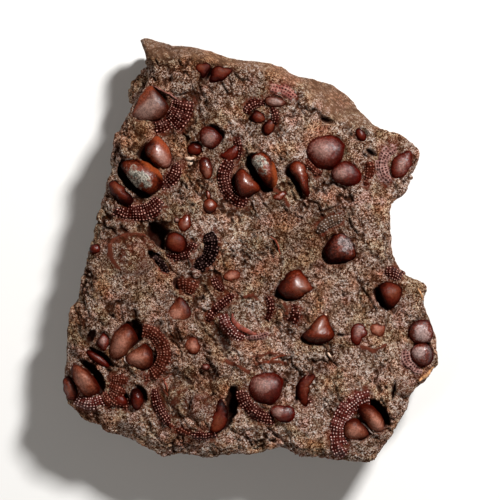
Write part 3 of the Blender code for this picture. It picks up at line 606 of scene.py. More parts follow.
             outline=((8.2, -4.0), (9.6, -3.9), (10.6, -4.8), (11.6, -6.4), (12.6, -8.1),
                      (10.9, -8.7), (9.8, -9.6), (7.8, -9.8), (5.8, -9.6), (4.5, -9.2),
                      (5.0, -7.8), (6.5, -6.0))),
    )),
    "pointed_lobe": Head((
        Lobe(13.0, -16.5, 7.0, 5.4, 2.2, Gap(225, 0.2, 1.6), lit=70, cut=0.78,
             outline=((14.6, -12.6), (15.8, -15.0), (16.6, -16.6), (16.9, -17.3), (15.8, -18.2),
                      (14.2, -18.6), (12.2, -18.6), (10.6, -18.2), (9.6, -17.6), (10.3, -16.8),
                      (11.6, -15.8), (12.6, -14.4), (13.8, -13.2))),
    )),
    "right_edge_shield": Head((
        Lobe(27.3, -8.8, 5.6, 4.8, 1.7, Gap(205, 0.3, 2.4), Finish.EMBER, lit=20, cut=0.38,
             outline=((25.9, -6.8), (27.4, -6.2), (28.8, -6.6), (30.2, -7.6), (30.1, -9.2),
                      (29.3, -10.8), (27.9, -11.8), (26.8, -11.8), (25.6, -10.6), (24.9, -9.2),
                      (24.9, -7.8))),
    ), (
        Fringe(27.4, -8.4, 2.6, 5.2, 46, 106),
    )),
    "small_pair": Head((
        Lobe(21.6, -16.0, 3.4, 3.0, 0.4, finish=Finish.VIOLET,
             outline=((19.9, -17.0), (20.1, -15.4), (21.1, -14.6), (22.1, -14.8), (22.9, -16.0),
                      (23.4, -17.0), (21.9, -17.6), (21.8, -19.2), (20.8, -19.0), (19.9, -18.0))),
        Lobe(25.1, -15.8, 3.4, 2.8, 0.4, finish=Finish.TAN_ROSE,
             outline=((23.6, -15.2), (24.6, -14.6), (25.8, -15.0), (26.9, -15.0), (26.8, -16.4),
                      (26.1, -17.4), (24.9, -17.2), (23.9, -16.6))),
    )),
    "pale_edge_shield": Head((
        Lobe(33.2, -15.6, 5.0, 4.8, 1.6, Gap(120, 0.5, 1.0), Finish.SHEEN, lit=-60, cut=0.85,
             outline=((31.8, -15.0), (32.8, -14.2), (34.1, -14.0), (35.5, -14.2), (36.1, -15.4),
                      (36.4, -17.0), (35.8, -18.2), (34.1, -18.8), (32.5, -18.6), (31.8, -17.6),
                      (31.4, -16.2))),
        Lobe(34.4, -20.2, 4.8, 5.0, 1.8, Gap(60, 0.5, 1.2), Finish.SHEEN, lit=190, cut=0.85,
             outline=((31.9, -19.8), (32.8, -18.8), (34.0, -18.4), (35.4, -18.8), (36.1, -20.0),
                      (36.5, -21.2), (36.0, -22.6), (35.0, -23.4), (33.5, -23.2), (32.4, -22.4),
                      (31.8, -21.2))),
        Lobe(30.4, -27.6, 3.8, 3.4, 1.0, finish=Finish.ROCK),
    ), (
        Fringe(34.6, -20.4, 2.5, 5.0, 172, 264, Weave.ROSE_MESH),
    )),
    "tan_twin_shield": Head((
        Lobe(-25.1, -17.7, 7.6, 5.2, 2.7, Gap(35, 1.6, 3.0), Finish.TAN_ROSE, lit=215, cut=0.65,
             outline=((-26.9, -15.8), (-25.9, -15.0), (-24.6, -14.7), (-23.4, -15.0),
                      (-22.6, -16.0), (-22.6, -17.4), (-23.2, -18.8), (-24.2, -19.8),
                      (-25.2, -21.2), (-26.6, -22.0), (-27.9, -21.8), (-28.4, -20.6),
                      (-28.2, -18.8), (-27.9, -17.2))),
        Lobe(-21.6, -21.4, 6.0, 5.0, 2.0, Gap(0, 0.6, 1.8), Finish.TAN_ROSE, lit=200, cut=0.79,
             outline=((-25.2, -21.4), (-24.2, -20.4), (-22.6, -19.4), (-21.4, -18.6),
                      (-20.4, -19.4), (-19.6, -20.6), (-19.4, -22.0), (-19.9, -23.2),
                      (-20.9, -23.8), (-22.2, -23.8), (-23.6, -23.2), (-24.9, -22.6))),
        Lobe(-29.7, -18.1, 3.8, 2.6, 1.1, Gap(150, 0.6, 1.0), Finish.VIOLET, cut=0.67,
             outline=((-30.4, -17.2), (-29.6, -16.6), (-28.6, -17.2), (-28.2, -18.4),
                      (-28.6, -19.6), (-29.4, -20.4), (-30.2, -19.6), (-30.9, -18.4))),
    ), (
        Fringe(-22.2, -20.8, 3.2, 6.2, -80, 85, Weave.BROWN_BEADS),
    )),
    "lower_left_shield": Head((
        Lobe(-32.8, -25.8, 8.0, 4.4, 2.5, Gap(40, 2.0, 3.0), Finish.TAN_ROSE, lit=200, cut=0.78,
             outline=((-35.9, -22.8), (-34.9, -22.8), (-33.5, -23.6), (-32.0, -24.8),
                      (-30.9, -26.4), (-30.2, -28.0), (-30.9, -29.2), (-32.2, -29.6),
                      (-33.5, -29.0), (-34.6, -27.6), (-35.5, -26.0), (-36.0, -24.2))),
        Lobe(-36.0, -27.8, 5.0, 2.6, 1.3, lit=200,
             outline=((-37.5, -25.6), (-36.6, -25.2), (-35.6, -26.2), (-34.9, -27.6),
                      (-34.6, -29.0), (-35.2, -30.0), (-36.5, -30.0), (-37.0, -29.0),
                      (-37.5, -27.2))),
        Lobe(-30.6, -21.8, 6, 1.8, 0.8, Gap(60, 0.8, 1.4), Finish.DARK_RED, heading=-35),
    ), (
        Fringe(-32.2, -25.6, 3.8, 6.4, -125, -60, Weave.ROSE_BEADS),
        Fringe(-32.2, -25.6, 3.8, 7.6, -60, 8, Weave.BROWN_BEADS),
    )),
    "lower_left_pair": Head((
        Lobe(-22.7, -29.7, 4.8, 2.4, 1.5, Gap(30, 1.1, 2.2), Finish.DARK_RED, lit=-90, cut=0.88,
             outline=((-23.9, -27.8), (-22.9, -27.6), (-22.1, -28.2), (-21.6, -29.6),
                      (-21.9, -31.2), (-22.6, -32.2), (-23.4, -31.8), (-23.9, -30.6),
                      (-24.1, -29.2))),
        Lobe(-26.2, -29.9, 3.8, 2.6, 0.9, Gap(30, 0.9, 1.4), Finish.DARK_RED, cut=0.88,
             outline=((-28.2, -30.4), (-27.4, -29.2), (-26.2, -28.8), (-25.1, -29.6),
                      (-24.6, -30.8), (-25.4, -31.4), (-27.1, -31.2))),
    ), (
        Fringe(-25.4, -27.4, 2.4, 4.6, -170, -60, Weave.BROWN_BEADS),
    )),
    "hollow_shield": Head((
        Lobe(-10.2, -31.4, 5.6, 4.8, 1.5, finish=Finish.ROCK, heading=80, narrowing=0.1),
        Lobe(-14.6, -29.2, 5.0, 4.0, 1.1, finish=Finish.ROCK, heading=60),
        Lobe(-6.2, -33.0, 6.8, 3.0, 0.4, finish=Finish.EMBER, lit=250,
             outline=((-6.3, -29.2), (-5.7, -29.8), (-5.0, -31.4), (-4.8, -33.2), (-5.0, -34.8),
                      (-6.0, -36.2), (-7.7, -36.8), (-8.4, -36.2), (-7.8, -34.4), (-7.0, -32.2),
                      (-6.8, -30.4))),
        Lobe(-11.6, -19.2, 2.8, 3.0, 0.4, finish=Finish.TAN_ROSE,
             outline=((-13.4, -18.6), (-12.6, -17.6), (-11.2, -17.4), (-10.5, -18.6),
                      (-10.5, -20.4), (-11.4, -20.9), (-12.6, -20.2))),
        Lobe(-9.1, -23.4, 1.8, 1.4, 0.7, finish=Finish.VIOLET),
    ), (
        Fringe(-10.2, -28.0, 8.0, 10.0, 178, 228),
        Fringe(-10.2, -28.0, 8.3, 9.7, 228, 258, Weave.BROWN_BEADS),
        Fringe(-10.2, -28.0, 8.2, 10.2, 258, 290),
    )),
    "polished_shield": Head((
        Lobe(3.5, -27.6, 7.2, 6.4, 2.2, Gap(-15, 0.4, 0.8), Finish.VIOLET, rim=-20, lit=150,
             cut=0.85,
             outline=((-0.2, -25.6), (1.4, -24.8), (3.4, -24.4), (5.2, -24.8), (6.3, -25.8),
                      (6.5, -27.4), (6.2, -28.8), (5.2, -30.0), (3.8, -31.0), (2.1, -30.6),
                      (0.6, -30.0), (-0.2, -28.8), (-0.7, -27.2))),
        Lobe(6.3, -32.6, 5.0, 3.2, 0.9, finish=Finish.VIOLET, rim=0, lit=170,
             outline=((3.8, -31.6), (5.0, -31.0), (6.5, -31.2), (8.0, -31.2), (8.9, -32.2),
                      (8.8, -33.4), (7.5, -34.4), (6.2, -34.4), (4.8, -33.6), (3.8, -32.6))),
    ), (
        Fringe(4.2, -27.6, 4.6, 7.4, 178, 275),
    )),
    "red_crescent": Head((
        Lobe(10.5, -27.6, 7.4, 2.4, 0.4, finish=Finish.EMBER, lit=0,
             outline=((13.2, -23.8), (11.3, -24.6), (10.2, -25.5), (9.3, -26.6), (9.1, -28.0),
                      (9.4, -29.6), (10.2, -31.2), (11.2, -31.8), (11.4, -30.6), (11.2, -29.0),
                      (11.4, -27.2), (11.8, -25.4))),
    ), (
        Fringe(14.2, -27.6, 3.2, 4.6, 196, 232),
    )),
    "beaded_shield": Head((
        Lobe(24.3, -33.4, 7.2, 4.6, 2.5, Gap(40, 1.8, 3.2), Finish.TAN_ROSE, lit=-60, cut=0.84,
             outline=((21.4, -30.9), (22.6, -30.6), (23.9, -31.0), (25.2, -32.0), (26.1, -33.4),
                      (26.6, -35.0), (26.6, -36.2), (25.4, -36.8), (24.4, -36.2), (22.9, -34.6),
                      (21.6, -32.8), (21.2, -31.7))),
        Lobe(20.2, -35.5, 5.4, 4.2, 1.7, Gap(30, 0.5, 1.4), Finish.TAN_ROSE, lit=-90, cut=0.85,
             outline=((18.6, -34.8), (19.8, -33.8), (21.1, -33.6), (21.9, -34.6), (23.4, -35.8),
                      (23.6, -37.0), (22.4, -37.8), (20.6, -38.0), (18.9, -37.4), (18.4, -36.0))),
    ), (
        Fringe(25.1, -36.8, 6.0, 9.6, 100, 215, Weave.ROSE_BEADS),
    )),
    "edge_flakes": Head((
        Lobe(-9.6, 36.1, 3.0, 2.4, 0.3, finish=Finish.EMBER, lit=120,
             outline=((-11.2, 36.8), (-9.7, 37.2), (-8.1, 37.0), (-8.8, 35.4), (-9.7, 34.2),
                      (-10.2, 35.4))),
        Lobe(-6.4, 35.2, 5.0, 2.4, 0.35, finish=Finish.EMBER, lit=60,
             outline=((-6.8, 36.8), (-5.5, 36.4), (-3.5, 36.0), (-4.7, 34.8), (-6.5, 33.8),
                      (-8.7, 33.6), (-8.1, 34.8))),
    )),
}

# Thin edges of shell moulds, slivers and bands that stand a little out of the rock.
EDGES = {
    # Thin shell edges whose pale colour is partly a painted highlight.
    "pale_lit_edges": (
        Edge(((-10.3, 5.4), (-9.1, 4.8), (-7.9, 3.6)), 0.22, Trim.PALE_LIT_EDGE),
        Edge(((-21.1, 1.3), (-19.7, 0.1), (-18.0, -1.0)), 0.22, Trim.PALE_LIT_EDGE),
        Edge(((0.1, -9.9), (0.5, -11.0), (0.6, -12.3)), 0.20, Trim.PALE_LIT_EDGE),
        Edge(((10.4, -4.8), (11.6, -6.4), (12.3, -7.9)), 0.26, Trim.PALE_LIT_EDGE),
        Edge(((11.4, -8.5), (12.0, -8.4), (12.6, -8.0)), 0.30, Trim.PALE_LIT_EDGE),
        Edge(((-25.6, -20.4), (-25.1, -22.4), (-23.1, -23.8)), 0.24, Trim.PALE_LIT_EDGE),
        Edge(((-29.9, -20.4), (-28.9, -19.8), (-28.1, -18.6)), 0.22, Trim.PALE_LIT_EDGE),
        Edge(((22.1, -34.3), (23.2, -35.4), (24.4, -36.8)), 0.34, Trim.PALE_LIT_EDGE),
        Edge(((19.8, -38.6), (20.6, -38.8), (21.4, -38.5)), 0.24, Trim.PALE_LIT_EDGE),
        Edge(((-1.0, 22.3), (0.2, 23.8), (1.0, 24.6)), 0.20, Trim.PALE_LIT_EDGE),
    ),
    "red_edges": (
        Edge(((-20.3, 33.0), (-17.2, 31.6), (-14.3, 29.8)), 0.40, Trim.ROSE_EDGE),
        Edge(((-18.7, -3.6), (-17.6, -4.4), (-16.6, -5.1)), 0.34, Trim.RED_SLIVER),
        Edge(((3.9, 2.8), (5.2, 1.4), (5.8, -1.0)), 0.36, Trim.RED_SLIVER),
        Edge(((2.2, -23.6), (4.2, -21.7), (7.8, -20.8)), 0.36, Trim.RED_SLIVER),
        Edge(((-17.7, -25.6), (-17.0, -27.0), (-16.7, -28.4)), 0.34, Trim.RED_SLIVER),
        Edge(((11.4, -24.4), (10.2, -27.0), (10.6, -30.0)), 0.34, Trim.ROSE_EDGE),
        Edge(((-3.9, -12.6), (-3.6, -14.0), (-2.9, -15.1), (-1.6, -15.9),
              (-0.2, -16.5), (1.1, -16.8)), 1.1, Trim.RUST_BAND, 0.55),
    ),
    "amber_edges": (
        Edge(((33.3, -7.6), (34.0, -9.0), (34.3, -10.2)), 0.5, Trim.AMBER_LENS),
        Edge(((33.4, -26.4), (35.2, -24.9), (36.4, -23.4)), 0.8, Trim.AMBER_LENS),
        Edge(((15.2, -20.4), (15.5, -21.0), (16.0, -21.4)), 0.5, Trim.CREAM_CHIP),
        Edge(((-13.6, 18.5), (-12.4, 18.3), (-11.2, 18.4)), 0.8, Trim.CREAM_CHIP, 0.8),
        Edge(((-13.1, 17.7), (-12.3, 17.3), (-11.7, 17.6)), 0.7, Trim.CREAM_CHIP, 0.8),
        Edge(((13.6, -13.0), (14.4, -13.2), (15.0, -12.8)), 0.7, Trim.CREAM_CHIP),
    ),
}

# Flat rusty bands that the rock itself shows.
BANDS = (
    Edge(((-21.3, 2.9), (-23.4, 3.4), (-25.6, 3.1), (-27.6, 2.1), (-28.5, 0.8)),
         0.5, Trim.RUST_BAND),
    Edge(((-28.3, 1.0), (-28.3, -0.4), (-27.7, -2.1), (-26.5, -3.7)), 1.0, Trim.RUST_BAND),
    Edge(((-16.2, -24.9), (-17.4, -25.9), (-17.6, -27.5), (-16.7, -29.2)), 0.5,
         Trim.RUST_BAND),
    Edge(((-5.0, -22.2), (-3.0, -23.0), (-0.4, -24.4)), 0.8, Trim.RUST_BAND),
    Edge(((0.4, -21.4), (3.6, -20.6), (7.0, -21.0)), 0.6, Trim.RUST_BAND),
    Edge(((1.0, -22.8), (4.0, -22.2), (6.8, -22.6)), 0.7, Trim.RUST_BAND),
    Edge(((-1.4, -9.4), (0.4, -9.0), (1.2, -9.8)), 0.8, Trim.RUST_BAND),
    Edge(((6.6, -10.8), (7.2, -11.8), (7.0, -12.8)), 0.7, Trim.RUST_BAND),
    Edge(((4.6, 12.0), (6.4, 11.0), (7.4, 9.0)), 0.8, Trim.RUST_BAND),
    Edge(((22.0, -19.4), (24.6, -20.2), (26.8, -19.0)), 0.8, Trim.RUST_BAND),
)


def all_lobes() -> list[Lobe]:
    """Every lobe of the face, also those that are bare rock."""
    return [lobe for head in HEADS.values() for lobe in head.lobes]


def all_fringes() -> list[Fringe]:
    """Every fringe of the face."""
    return [fringe for head in HEADS.values() for fringe in head.fringes]


# ------------------------------------------------------------ working with meshes


def deselect_all() -> None:
    """Leaves nothing selected."""
    bpy.ops.object.select_all(action="DESELECT")


def make_active(piece: bpy.types.Object) -> None:
    """Selects one object alone and makes it the active one."""
    deselect_all()
    piece.select_set(True)
    bpy.context.view_layer.objects.active = piece


def points_of(piece: bpy.types.Object) -> np.ndarray:
    """The object's points as rows."""
    flat = np.empty(3 * len(piece.data.vertices), np.float32)
    piece.data.vertices.foreach_get("co", flat)
    return flat.reshape(-1, 3).astype(float)


def move_points(piece: bpy.types.Object, points: np.ndarray) -> None:
    """Gives the object's mesh new points."""
    piece.data.vertices.foreach_set("co", points.astype(np.float32).ravel())
    piece.data.update()


def paint(piece: bpy.types.Object, name: str, values: np.ndarray) -> None:
    """Stores one number a point, which the materials read by this name.

    Args:
        piece: The object to paint.
        name: What the materials call the layer.
        values: One number for each point.
    """
    layer = piece.data.attributes.get(name)
    if layer is None:
        layer = piece.data.attributes.new(name, "FLOAT", "POINT")
    layer.data.foreach_set("value", values.astype(np.float32))


def apply_modifier(piece: bpy.types.Object, kind: str, **settings: object) -> None:
    """Adds a modifier, sets it and applies it.

    Args:
        piece: The object that takes it.
        kind: Blender's type of the modifier.
        settings: The modifier's values by name.
    """
    make_active(piece)
    modifier = piece.modifiers.new(kind.lower(), kind)
    for name, value in settings.items():
        setattr(modifier, name, value)
    bpy.ops.object.modifier_apply(modifier=modifier.name)


def select_faces(piece: bpy.types.Object, chosen: np.ndarray) -> None:
    """Selects these faces alone and opens the object in edit mode.

    Args:
        piece: The object to edit.
        chosen: Whether each face is selected.
    """
    make_active(piece)
    mesh = piece.data
    mesh.vertices.foreach_set("select", np.zeros(len(mesh.vertices), bool))
    mesh.edges.foreach_set("select", np.zeros(len(mesh.edges), bool))
    mesh.polygons.foreach_set("select", chosen)
    bpy.context.tool_settings.mesh_select_mode = (False, False, True)
    bpy.ops.object.mode_set(mode="EDIT")


def leave_edit_mode() -> None:
    """Goes back to object mode."""
    bpy.ops.object.mode_set(mode="OBJECT")


def join(pieces: list[bpy.types.Object], name: str) -> bpy.types.Object:
    """Joins objects into one.

    Args:
        pieces: The objects, each with its own materials.
        name: The joined object's name.

    Returns:
        The one object left.
    """
    deselect_all()
    for piece in pieces:
        piece.select_set(True)
    bpy.context.view_layer.objects.active = pieces[0]
    if len(pieces) > 1:
        bpy.ops.object.join()
    pieces[0].name = name
    pieces[0].data.name = name
    return pieces[0]


def finish_piece(piece: bpy.types.Object, smooth_below: float) -> None:
    """Turns a piece into metres, shades it and enters it in the frame.

    Args:
        piece: The finished mesh, in millimetres.
        smooth_below: Edges flatter than this, in degrees, are shaded smooth.
    """
    make_active(piece)
    piece.data.transform(Matrix.Scale(MM, 4))
    bpy.ops.object.shade_smooth_by_angle(angle=math.radians(smooth_below))
    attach(piece, BODY)
    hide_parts(ROCK_NODE)
    LOG.info("%s: %d faces", piece.name, len(piece.data.polygons))


# ----------------------------------------------------------------- the rock's form


def roughness(points: np.ndarray, octaves: int = 4) -> np.ndarray:
    """Fractal noise at each row of points, about -1 to 1."""
    return np.array([noise.fractal(Vector(row), 1.0, 2.0, octaves) for row in points])


def with_level(plan: np.ndarray, level: float) -> np.ndarray:
    """The plan's points at one level, as rows of three."""
    return np.column_stack((plan, np.full(len(plan), level)))


def edge_distance(plan: np.ndarray, path: Path, closed: bool = True) -> np.ndarray:
    """Measures how far points are from a path.

    Args:
        plan: The points, as rows of x and y.
        path: The corners of the path.
        closed: Whether the path returns to its first corner.

    Returns:
        The distance from each point to the nearest stretch of the path.
    """
    corners = np.array(path, float)
    starts = corners if closed else corners[:-1]
    ends = np.roll(corners, -1, axis=0) if closed else corners[1:]
    nearest = np.full(len(plan), np.inf)
    for start, span in zip(starts, ends - starts):
        offset = plan - start
        along = np.clip(offset @ span / (span @ span), 0, 1)
        away = np.linalg.norm(offset - along[:, None] * span, axis=1)
        nearest = np.minimum(nearest, away)
    return nearest


def is_inside(plan: np.ndarray, polygon: Path) -> np.ndarray:
    """Tells which points are inside a polygon.

    Args:
        plan: The points, as rows of x and y.
        polygon: The corners of the closed polygon.

    Returns:
        Whether each point is inside.
    """
    inside = np.zeros(len(plan), bool)
    for (x0, y0), (x1, y1) in zip(polygon, polygon[1:] + polygon[:1]):
        if y0 == y1:
            continue
        spans_point = (y0 > plan[:, 1]) != (y1 > plan[:, 1])
        crossing = x0 + (plan[:, 1] - y0) / (y1 - y0) * (x1 - x0)
        inside ^= spans_point & (plan[:, 0] < crossing)
    return inside


def outline_reach(shape: Union[Lobe, Hollow], bearing: np.ndarray) -> np.ndarray:
    """Measures a drawn outline from the shape's middle.

    Args:
        shape: A shape that has an outline.
        bearing: The directions to measure in, in radians.

    Returns:
        How far the outline is in each direction, with its corners rounded.
    """
    corners = np.array(shape.outline) - (shape.x, shape.y)
    angles = np.arctan2(corners[:, 1], corners[:, 0])
    around = np.linspace(-math.pi, math.pi, OUTLINE_STEPS, endpoint=False)
    reach = np.interp(around, angles, np.linalg.norm(corners, axis=1), period=2 * math.pi)
    for _ in range(OUTLINE_ROUNDING):
        reach = (np.roll(reach, 1) + 2 * reach + np.roll(reach, -1)) / 4
    return np.interp(bearing, around, reach, period=2 * math.pi)


def turned_into(shape: Union[Lobe, Hollow], plan: np.ndarray) -> np.ndarray:
    """The plan's points in the shape's own axes, where its outline has radius 1."""
    heading = math.radians(shape.heading)
    offset = plan - (shape.x, shape.y)
    if shape.outline:
        bearing = np.arctan2(offset[:, 1], offset[:, 0])
        return offset / outline_reach(shape, bearing)[:, None]
    along = offset @ (math.cos(heading), math.sin(heading)) / (shape.length / 2)
    across = offset @ (-math.sin(heading), math.cos(heading)) / (shape.width / 2)
    return np.column_stack((along, across))


@dataclass
class BareFace:
    """The rock's upper side before anything is carved from it."""

    level: float = 16.0
    slope_fall: float = 1.1
    slope_start: float = 0.8
    rim_direction: tuple[float, ...] = (-180, -150, -95, -75, -30, 45, 100, 130, 180)
    rim_width: tuple[float, ...] = (3.0, 6.0, 5.0, 2.5, 2.0, 2.0, 1.5, 3.0, 3.0)
    rim_fall: tuple[float, ...] = (1.8, 3.0, 3.0, 1.5, 1.2, 1.0, 0.6, 1.8, 1.8)
    broad_relief: float = 0.95
    broad_spacing: float = 7.0
    fine_relief: float = 0.35
    fine_spacing: float = 2.6
    bed_depth: float = 0.5
    bed_margin: float = 1.2

    def past_edge(self, plan: np.ndarray) -> np.ndarray:
        """How far each point is down the weathered slope, 0 on the face."""
        past = edge_distance(plan, FACE_EDGE, closed=False)
        past[is_inside(plan, FACE_EDGE + BEYOND_SLAB)] = 0
        return past

    def height(self, plan: np.ndarray) -> np.ndarray:
        """Works out the bare rock's height.

        Args:
            plan: The places, as rows of x and y.

        Returns:
            The height of the upper side over each place.
        """
        x, y = plan[:, 0], plan[:, 1]
        broad = roughness(with_level(plan, 0.0) / self.broad_spacing)
        fine = roughness(with_level(plan, self.level) / self.fine_spacing)
        height = self.level + self.broad_relief * broad
        for swell in SWELLS:
            away = np.hypot(x - swell.x, y - swell.y) / swell.radius
            height += swell.rise * np.exp(-away**2)

        direction = np.degrees(np.arctan2(y, x))
        width = np.interp(direction, self.rim_direction, self.rim_width)
        fall = np.interp(direction, self.rim_direction, self.rim_fall)
        into_rim = np.clip(1 - edge_distance(plan, OUTLINE) / width, 0, 1)
        height -= fall * into_rim**2

        past = self.past_edge(plan)
        height -= self.slope_fall * (np.hypot(past, self.slope_start) - self.slope_start)
        return height + self.fine_relief * fine * np.exp(-past) - self.beds(plan)

    def beds(self, plan: np.ndarray) -> np.ndarray:
        """How deep the beds of the fringes are over each point of plan."""
        return self.bed_depth * self.near_fringes(plan, self.bed_margin)

    def near_fringes(self, plan: np.ndarray, margin: float) -> np.ndarray:
        """Finds what lies under the fringes.

        Args:
            plan: The places, as rows of x and y.
            margin: How far round a fringe its influence reaches.

        Returns:
            1 under a fringe, falling to 0 at the margin.
        """
        near = np.zeros(len(plan))
        for fringe in all_fringes():
            across = plan - (fringe.x, fringe.y)
            radius = np.linalg.norm(across, axis=1)
            middle = (fringe.start + fringe.end) / 2
            turned = np.degrees(np.arctan2(across[:, 1], across[:, 0])) - middle
            off_middle = np.abs((turned + 180) % 360 - 180)
            half_sweep = (fringe.end - fringe.start) / 2
            past_end = np.radians(off_middle - half_sweep) * radius
            past_side = np.maximum(fringe.inner - radius, radius - fringe.outer)
            past = np.hypot(np.maximum(past_end, 0), np.maximum(past_side, 0))
            near = np.maximum(near, 1 - past / margin)
        return near

    def height_at(self, x: float, y: float) -> float:
        """Height of the bare rock's upper side at one place."""
        return float(self.height(np.array([[x, y]]))[0])


@dataclass
class RockSlab:
    """The slab of sandstone, with the sockets and hollows in its face."""

    face: BareFace
    outline_margin: float = 0.5
    side_lean: float = 0.05
    ledge_depth: float = 1.8
    ledge_spacing: float = 5.0
    ledge_step: float = 2.2
    ledge_reach: float = 2.0
    spall_width: float = 5.0
    spall_depth: float = 2.4
    spall_spacing: float = 7.0
    ledge: Lobe = Lobe(-21.9, 32.8, 8.6, 4.6, 3.0, heading=64, narrowing=0.2)
    ledge_level: float = 8.5
    ledge_facets: tuple[int, int] = (32, 16)
    block_step: float = 0.8
    skin_step: float = 0.60
    upward: float = 0.3
    downward: float = -0.8
    upper_from: float = 0.1
    upper_span: float = 0.4
    under_share: float = 0.35
    flat_below: float = 0.3
    wear_width: float = 0.5
    wear_calm: float = 0.85
    lobe_calm: float = 0.65
    lace_calm: float = 0.55
    lobe_stain: float = 0.6
    lace_stain: float = 0.9
    crag_relief: float = 0.76
    crag_spacing: float = 2.9
    crag_patches: float = 9.0
    valley_sharpness: float = 3.2
    grain_relief: float = 0.22
    grain_spacing: float = 0.54
    streak: float = 1.8
    streak_heading: float = -58.0
    base_shade: float = 0.30
    under_depth: float = 0.7
    wobble_spacing: float = 1.3
    mound_share: float = 0.22
    mound_reach: float = 1.1
    mound_inner: float = 0.35
    band_rise: float = 0.5
    band_wobble: float = 0.25
    dome_sink: float = 0.3
    socket_wobble: float = 0.25
    socket_margin: float = 0.25
    socket_shift: float = 0.7
    slim_width: float = 1.7
    slim_ragged: float = 3.0
    darkest_shade_depth: float = 1.4

    def build(self) -> bpy.types.Object:
        """Makes the slab.

        Returns:
            The slab, in millimetres, with its paint layers.
        """
        slab = self.block()
        apply_modifier(slab, "REMESH", mode="VOXEL", voxel_size=self.block_step)
        self.break_sides(slab)
        slab = join([slab, self.low_ledge()], "rock_slab")
        apply_modifier(slab, "REMESH", mode="VOXEL", voxel_size=self.skin_step)
        self.thin_underside(slab)
        self.refine_face(slab)
        self.carve(slab)
        return slab

    def block(self) -> bpy.types.Object:
        """The plain plate: a many-sided disc drawn to the outline and raised."""
        deselect_all()
        bpy.ops.mesh.primitive_circle_add(vertices=len(OUTLINE), fill_type="NGON")
        slab = bpy.context.object
        for vert, corner in zip(slab.data.vertices, reversed(OUTLINE)):
            wider = 1 + self.outline_margin / math.hypot(*corner)
            vert.co = (corner[0] * wider, corner[1] * wider, 0.0)
        bpy.ops.object.mode_set(mode="EDIT")
        bpy.ops.mesh.select_all(action="SELECT")
        bpy.ops.mesh.extrude_region()
        bpy.ops.transform.translate(value=(0, 0, self.face.level))
        bpy.ops.mesh.select_all(action="SELECT")
        bpy.ops.mesh.normals_make_consistent(inside=False)
        leave_edit_mode()
        return slab

    def break_sides(self, slab: bpy.types.Object) -> None:
        """Breaks the plain plate into the rock's own sides, top and underside."""
        points = points_of(slab)
        plan = points[:, :2]
        level = np.clip(points[:, 2] / self.face.level, 0, 1)
        top = self.face.height(plan)
        near_edge = np.clip(1 - edge_distance(plan, OUTLINE) / self.spall_width, 0, 1)
        spots = roughness(with_level(plan, -1.0) / self.spall_spacing)
        bottom = self.spall_depth * near_edge * np.clip(0.5 + 0.9 * spots, 0, 1)

        out = plan / np.maximum(np.linalg.norm(plan, axis=1), 1)[:, None]
        bedding = np.column_stack((plan / self.ledge_spacing, points[:, 2] / self.ledge_step))
        ledges = self.ledge_depth * np.clip(0.5 + 0.8 * roughness(bedding), 0, 1)
        at_side = np.exp(-edge_distance(plan, OUTLINE) / self.ledge_reach)
        step_in = ledges * at_side * np.sqrt(1 - level)
        leaned = plan * (1 - self.side_lean * (1 - level))[:, None]
        broken = leaned - out * step_in[:, None]
        move_points(slab, np.column_stack((broken, bottom + (top - bottom) * level)))

    def low_ledge(self) -> bpy.types.Object:
        """The ledge that stands out low on the left side."""
        return add_spheroid(self.ledge, self.ledge_level, self.ledge.height, self.ledge_facets)

    def thin_underside(self, slab: bpy.types.Object) -> None:
        """Keeps fewer facets on the plain underside."""
        normals, centres = face_frames(slab)
        under = (normals[:, 2] < self.downward) & (centres[:, 2] < self.spall_depth)
        select_faces(slab, under)
        bpy.ops.mesh.decimate(ratio=self.under_share)
        leave_edit_mode()

    def refine_face(self, slab: bpy.types.Object) -> None:
        """Gives the upper side facets half as wide as the sides'."""
        normals, centres = face_frames(slab)
        upper = (normals[:, 2] > self.upward) & (centres[:, 2] > self.face.level / 2)
        select_faces(slab, upper)
        bpy.ops.mesh.subdivide(number_cuts=1)
        leave_edit_mode()

    def carve(self, slab: bpy.types.Object) -> None:
        """Roughens the surface, raises its swellings, cuts its sockets and paints it."""
        points = points_of(slab)
        plan = points[:, :2]  # a view, so that it moves with the points
        normals = point_normals(slab)
        upper = np.clip((normals[:, 2] - self.upper_from) / self.upper_span, 0, 1)
        upper[points[:, 2] < self.face.level / 2] = 0
        on_face = upper > 0
        worn = 1 - np.exp(-self.face.past_edge(plan) / self.wear_width)
        shade = self.shade(plan)
        near_lace = np.clip(self.face.near_fringes(plan, 1.0), 0, 1)
        near_lobe, under_lobe = self.round_lobes(plan)

        rise = self.crags(points, shade)
        calm = (1 - self.wear_calm * worn) * (1 - self.lobe_calm * near_lobe)
        calm *= 1 - self.lace_calm * near_lace
        points += normals * (rise * calm)[:, None]
        points[:, 2] -= self.under_depth * under_lobe * on_face

        wobble = roughness(with_level(plan, 3.0) / self.wobble_spacing, 2)
        points[:, 2] += self.mounds(plan) * (0.75 + 0.9 * wobble) * on_face
        for band in BANDS:
            away = edge_distance(plan, band.path, closed=False) / (0.8 * band.thickness)
            points[:, 2] += self.band_rise * np.exp(-away**2) * on_face
        height = self.rock_domes(plan, points[:, 2].copy(), rise * calm, on_face)
        height, depth = self.cut_sockets(plan, height, wobble, on_face)
        points[:, 2] = height
        move_points(slab, points)

        # Painted shade: the crevices darken where the relief sinks.
        paint(slab, "crevice_shade", np.clip(-rise / self.crag_relief, 0, 1) * upper)
        # Painted shade: the hollows and gaps darken with their depth.
        paint(slab, "hollow", np.clip(depth / self.darkest_shade_depth, 0, 1))
        paint(slab, "band", self.banded(plan, wobble) * upper)
        stain = np.maximum(near_lace * self.lace_stain, near_lobe * self.lobe_stain)
        paint(slab, "stain", stain * upper)
        paint(slab, "rind", worn * upper)
        paint(slab, "shade", shade)

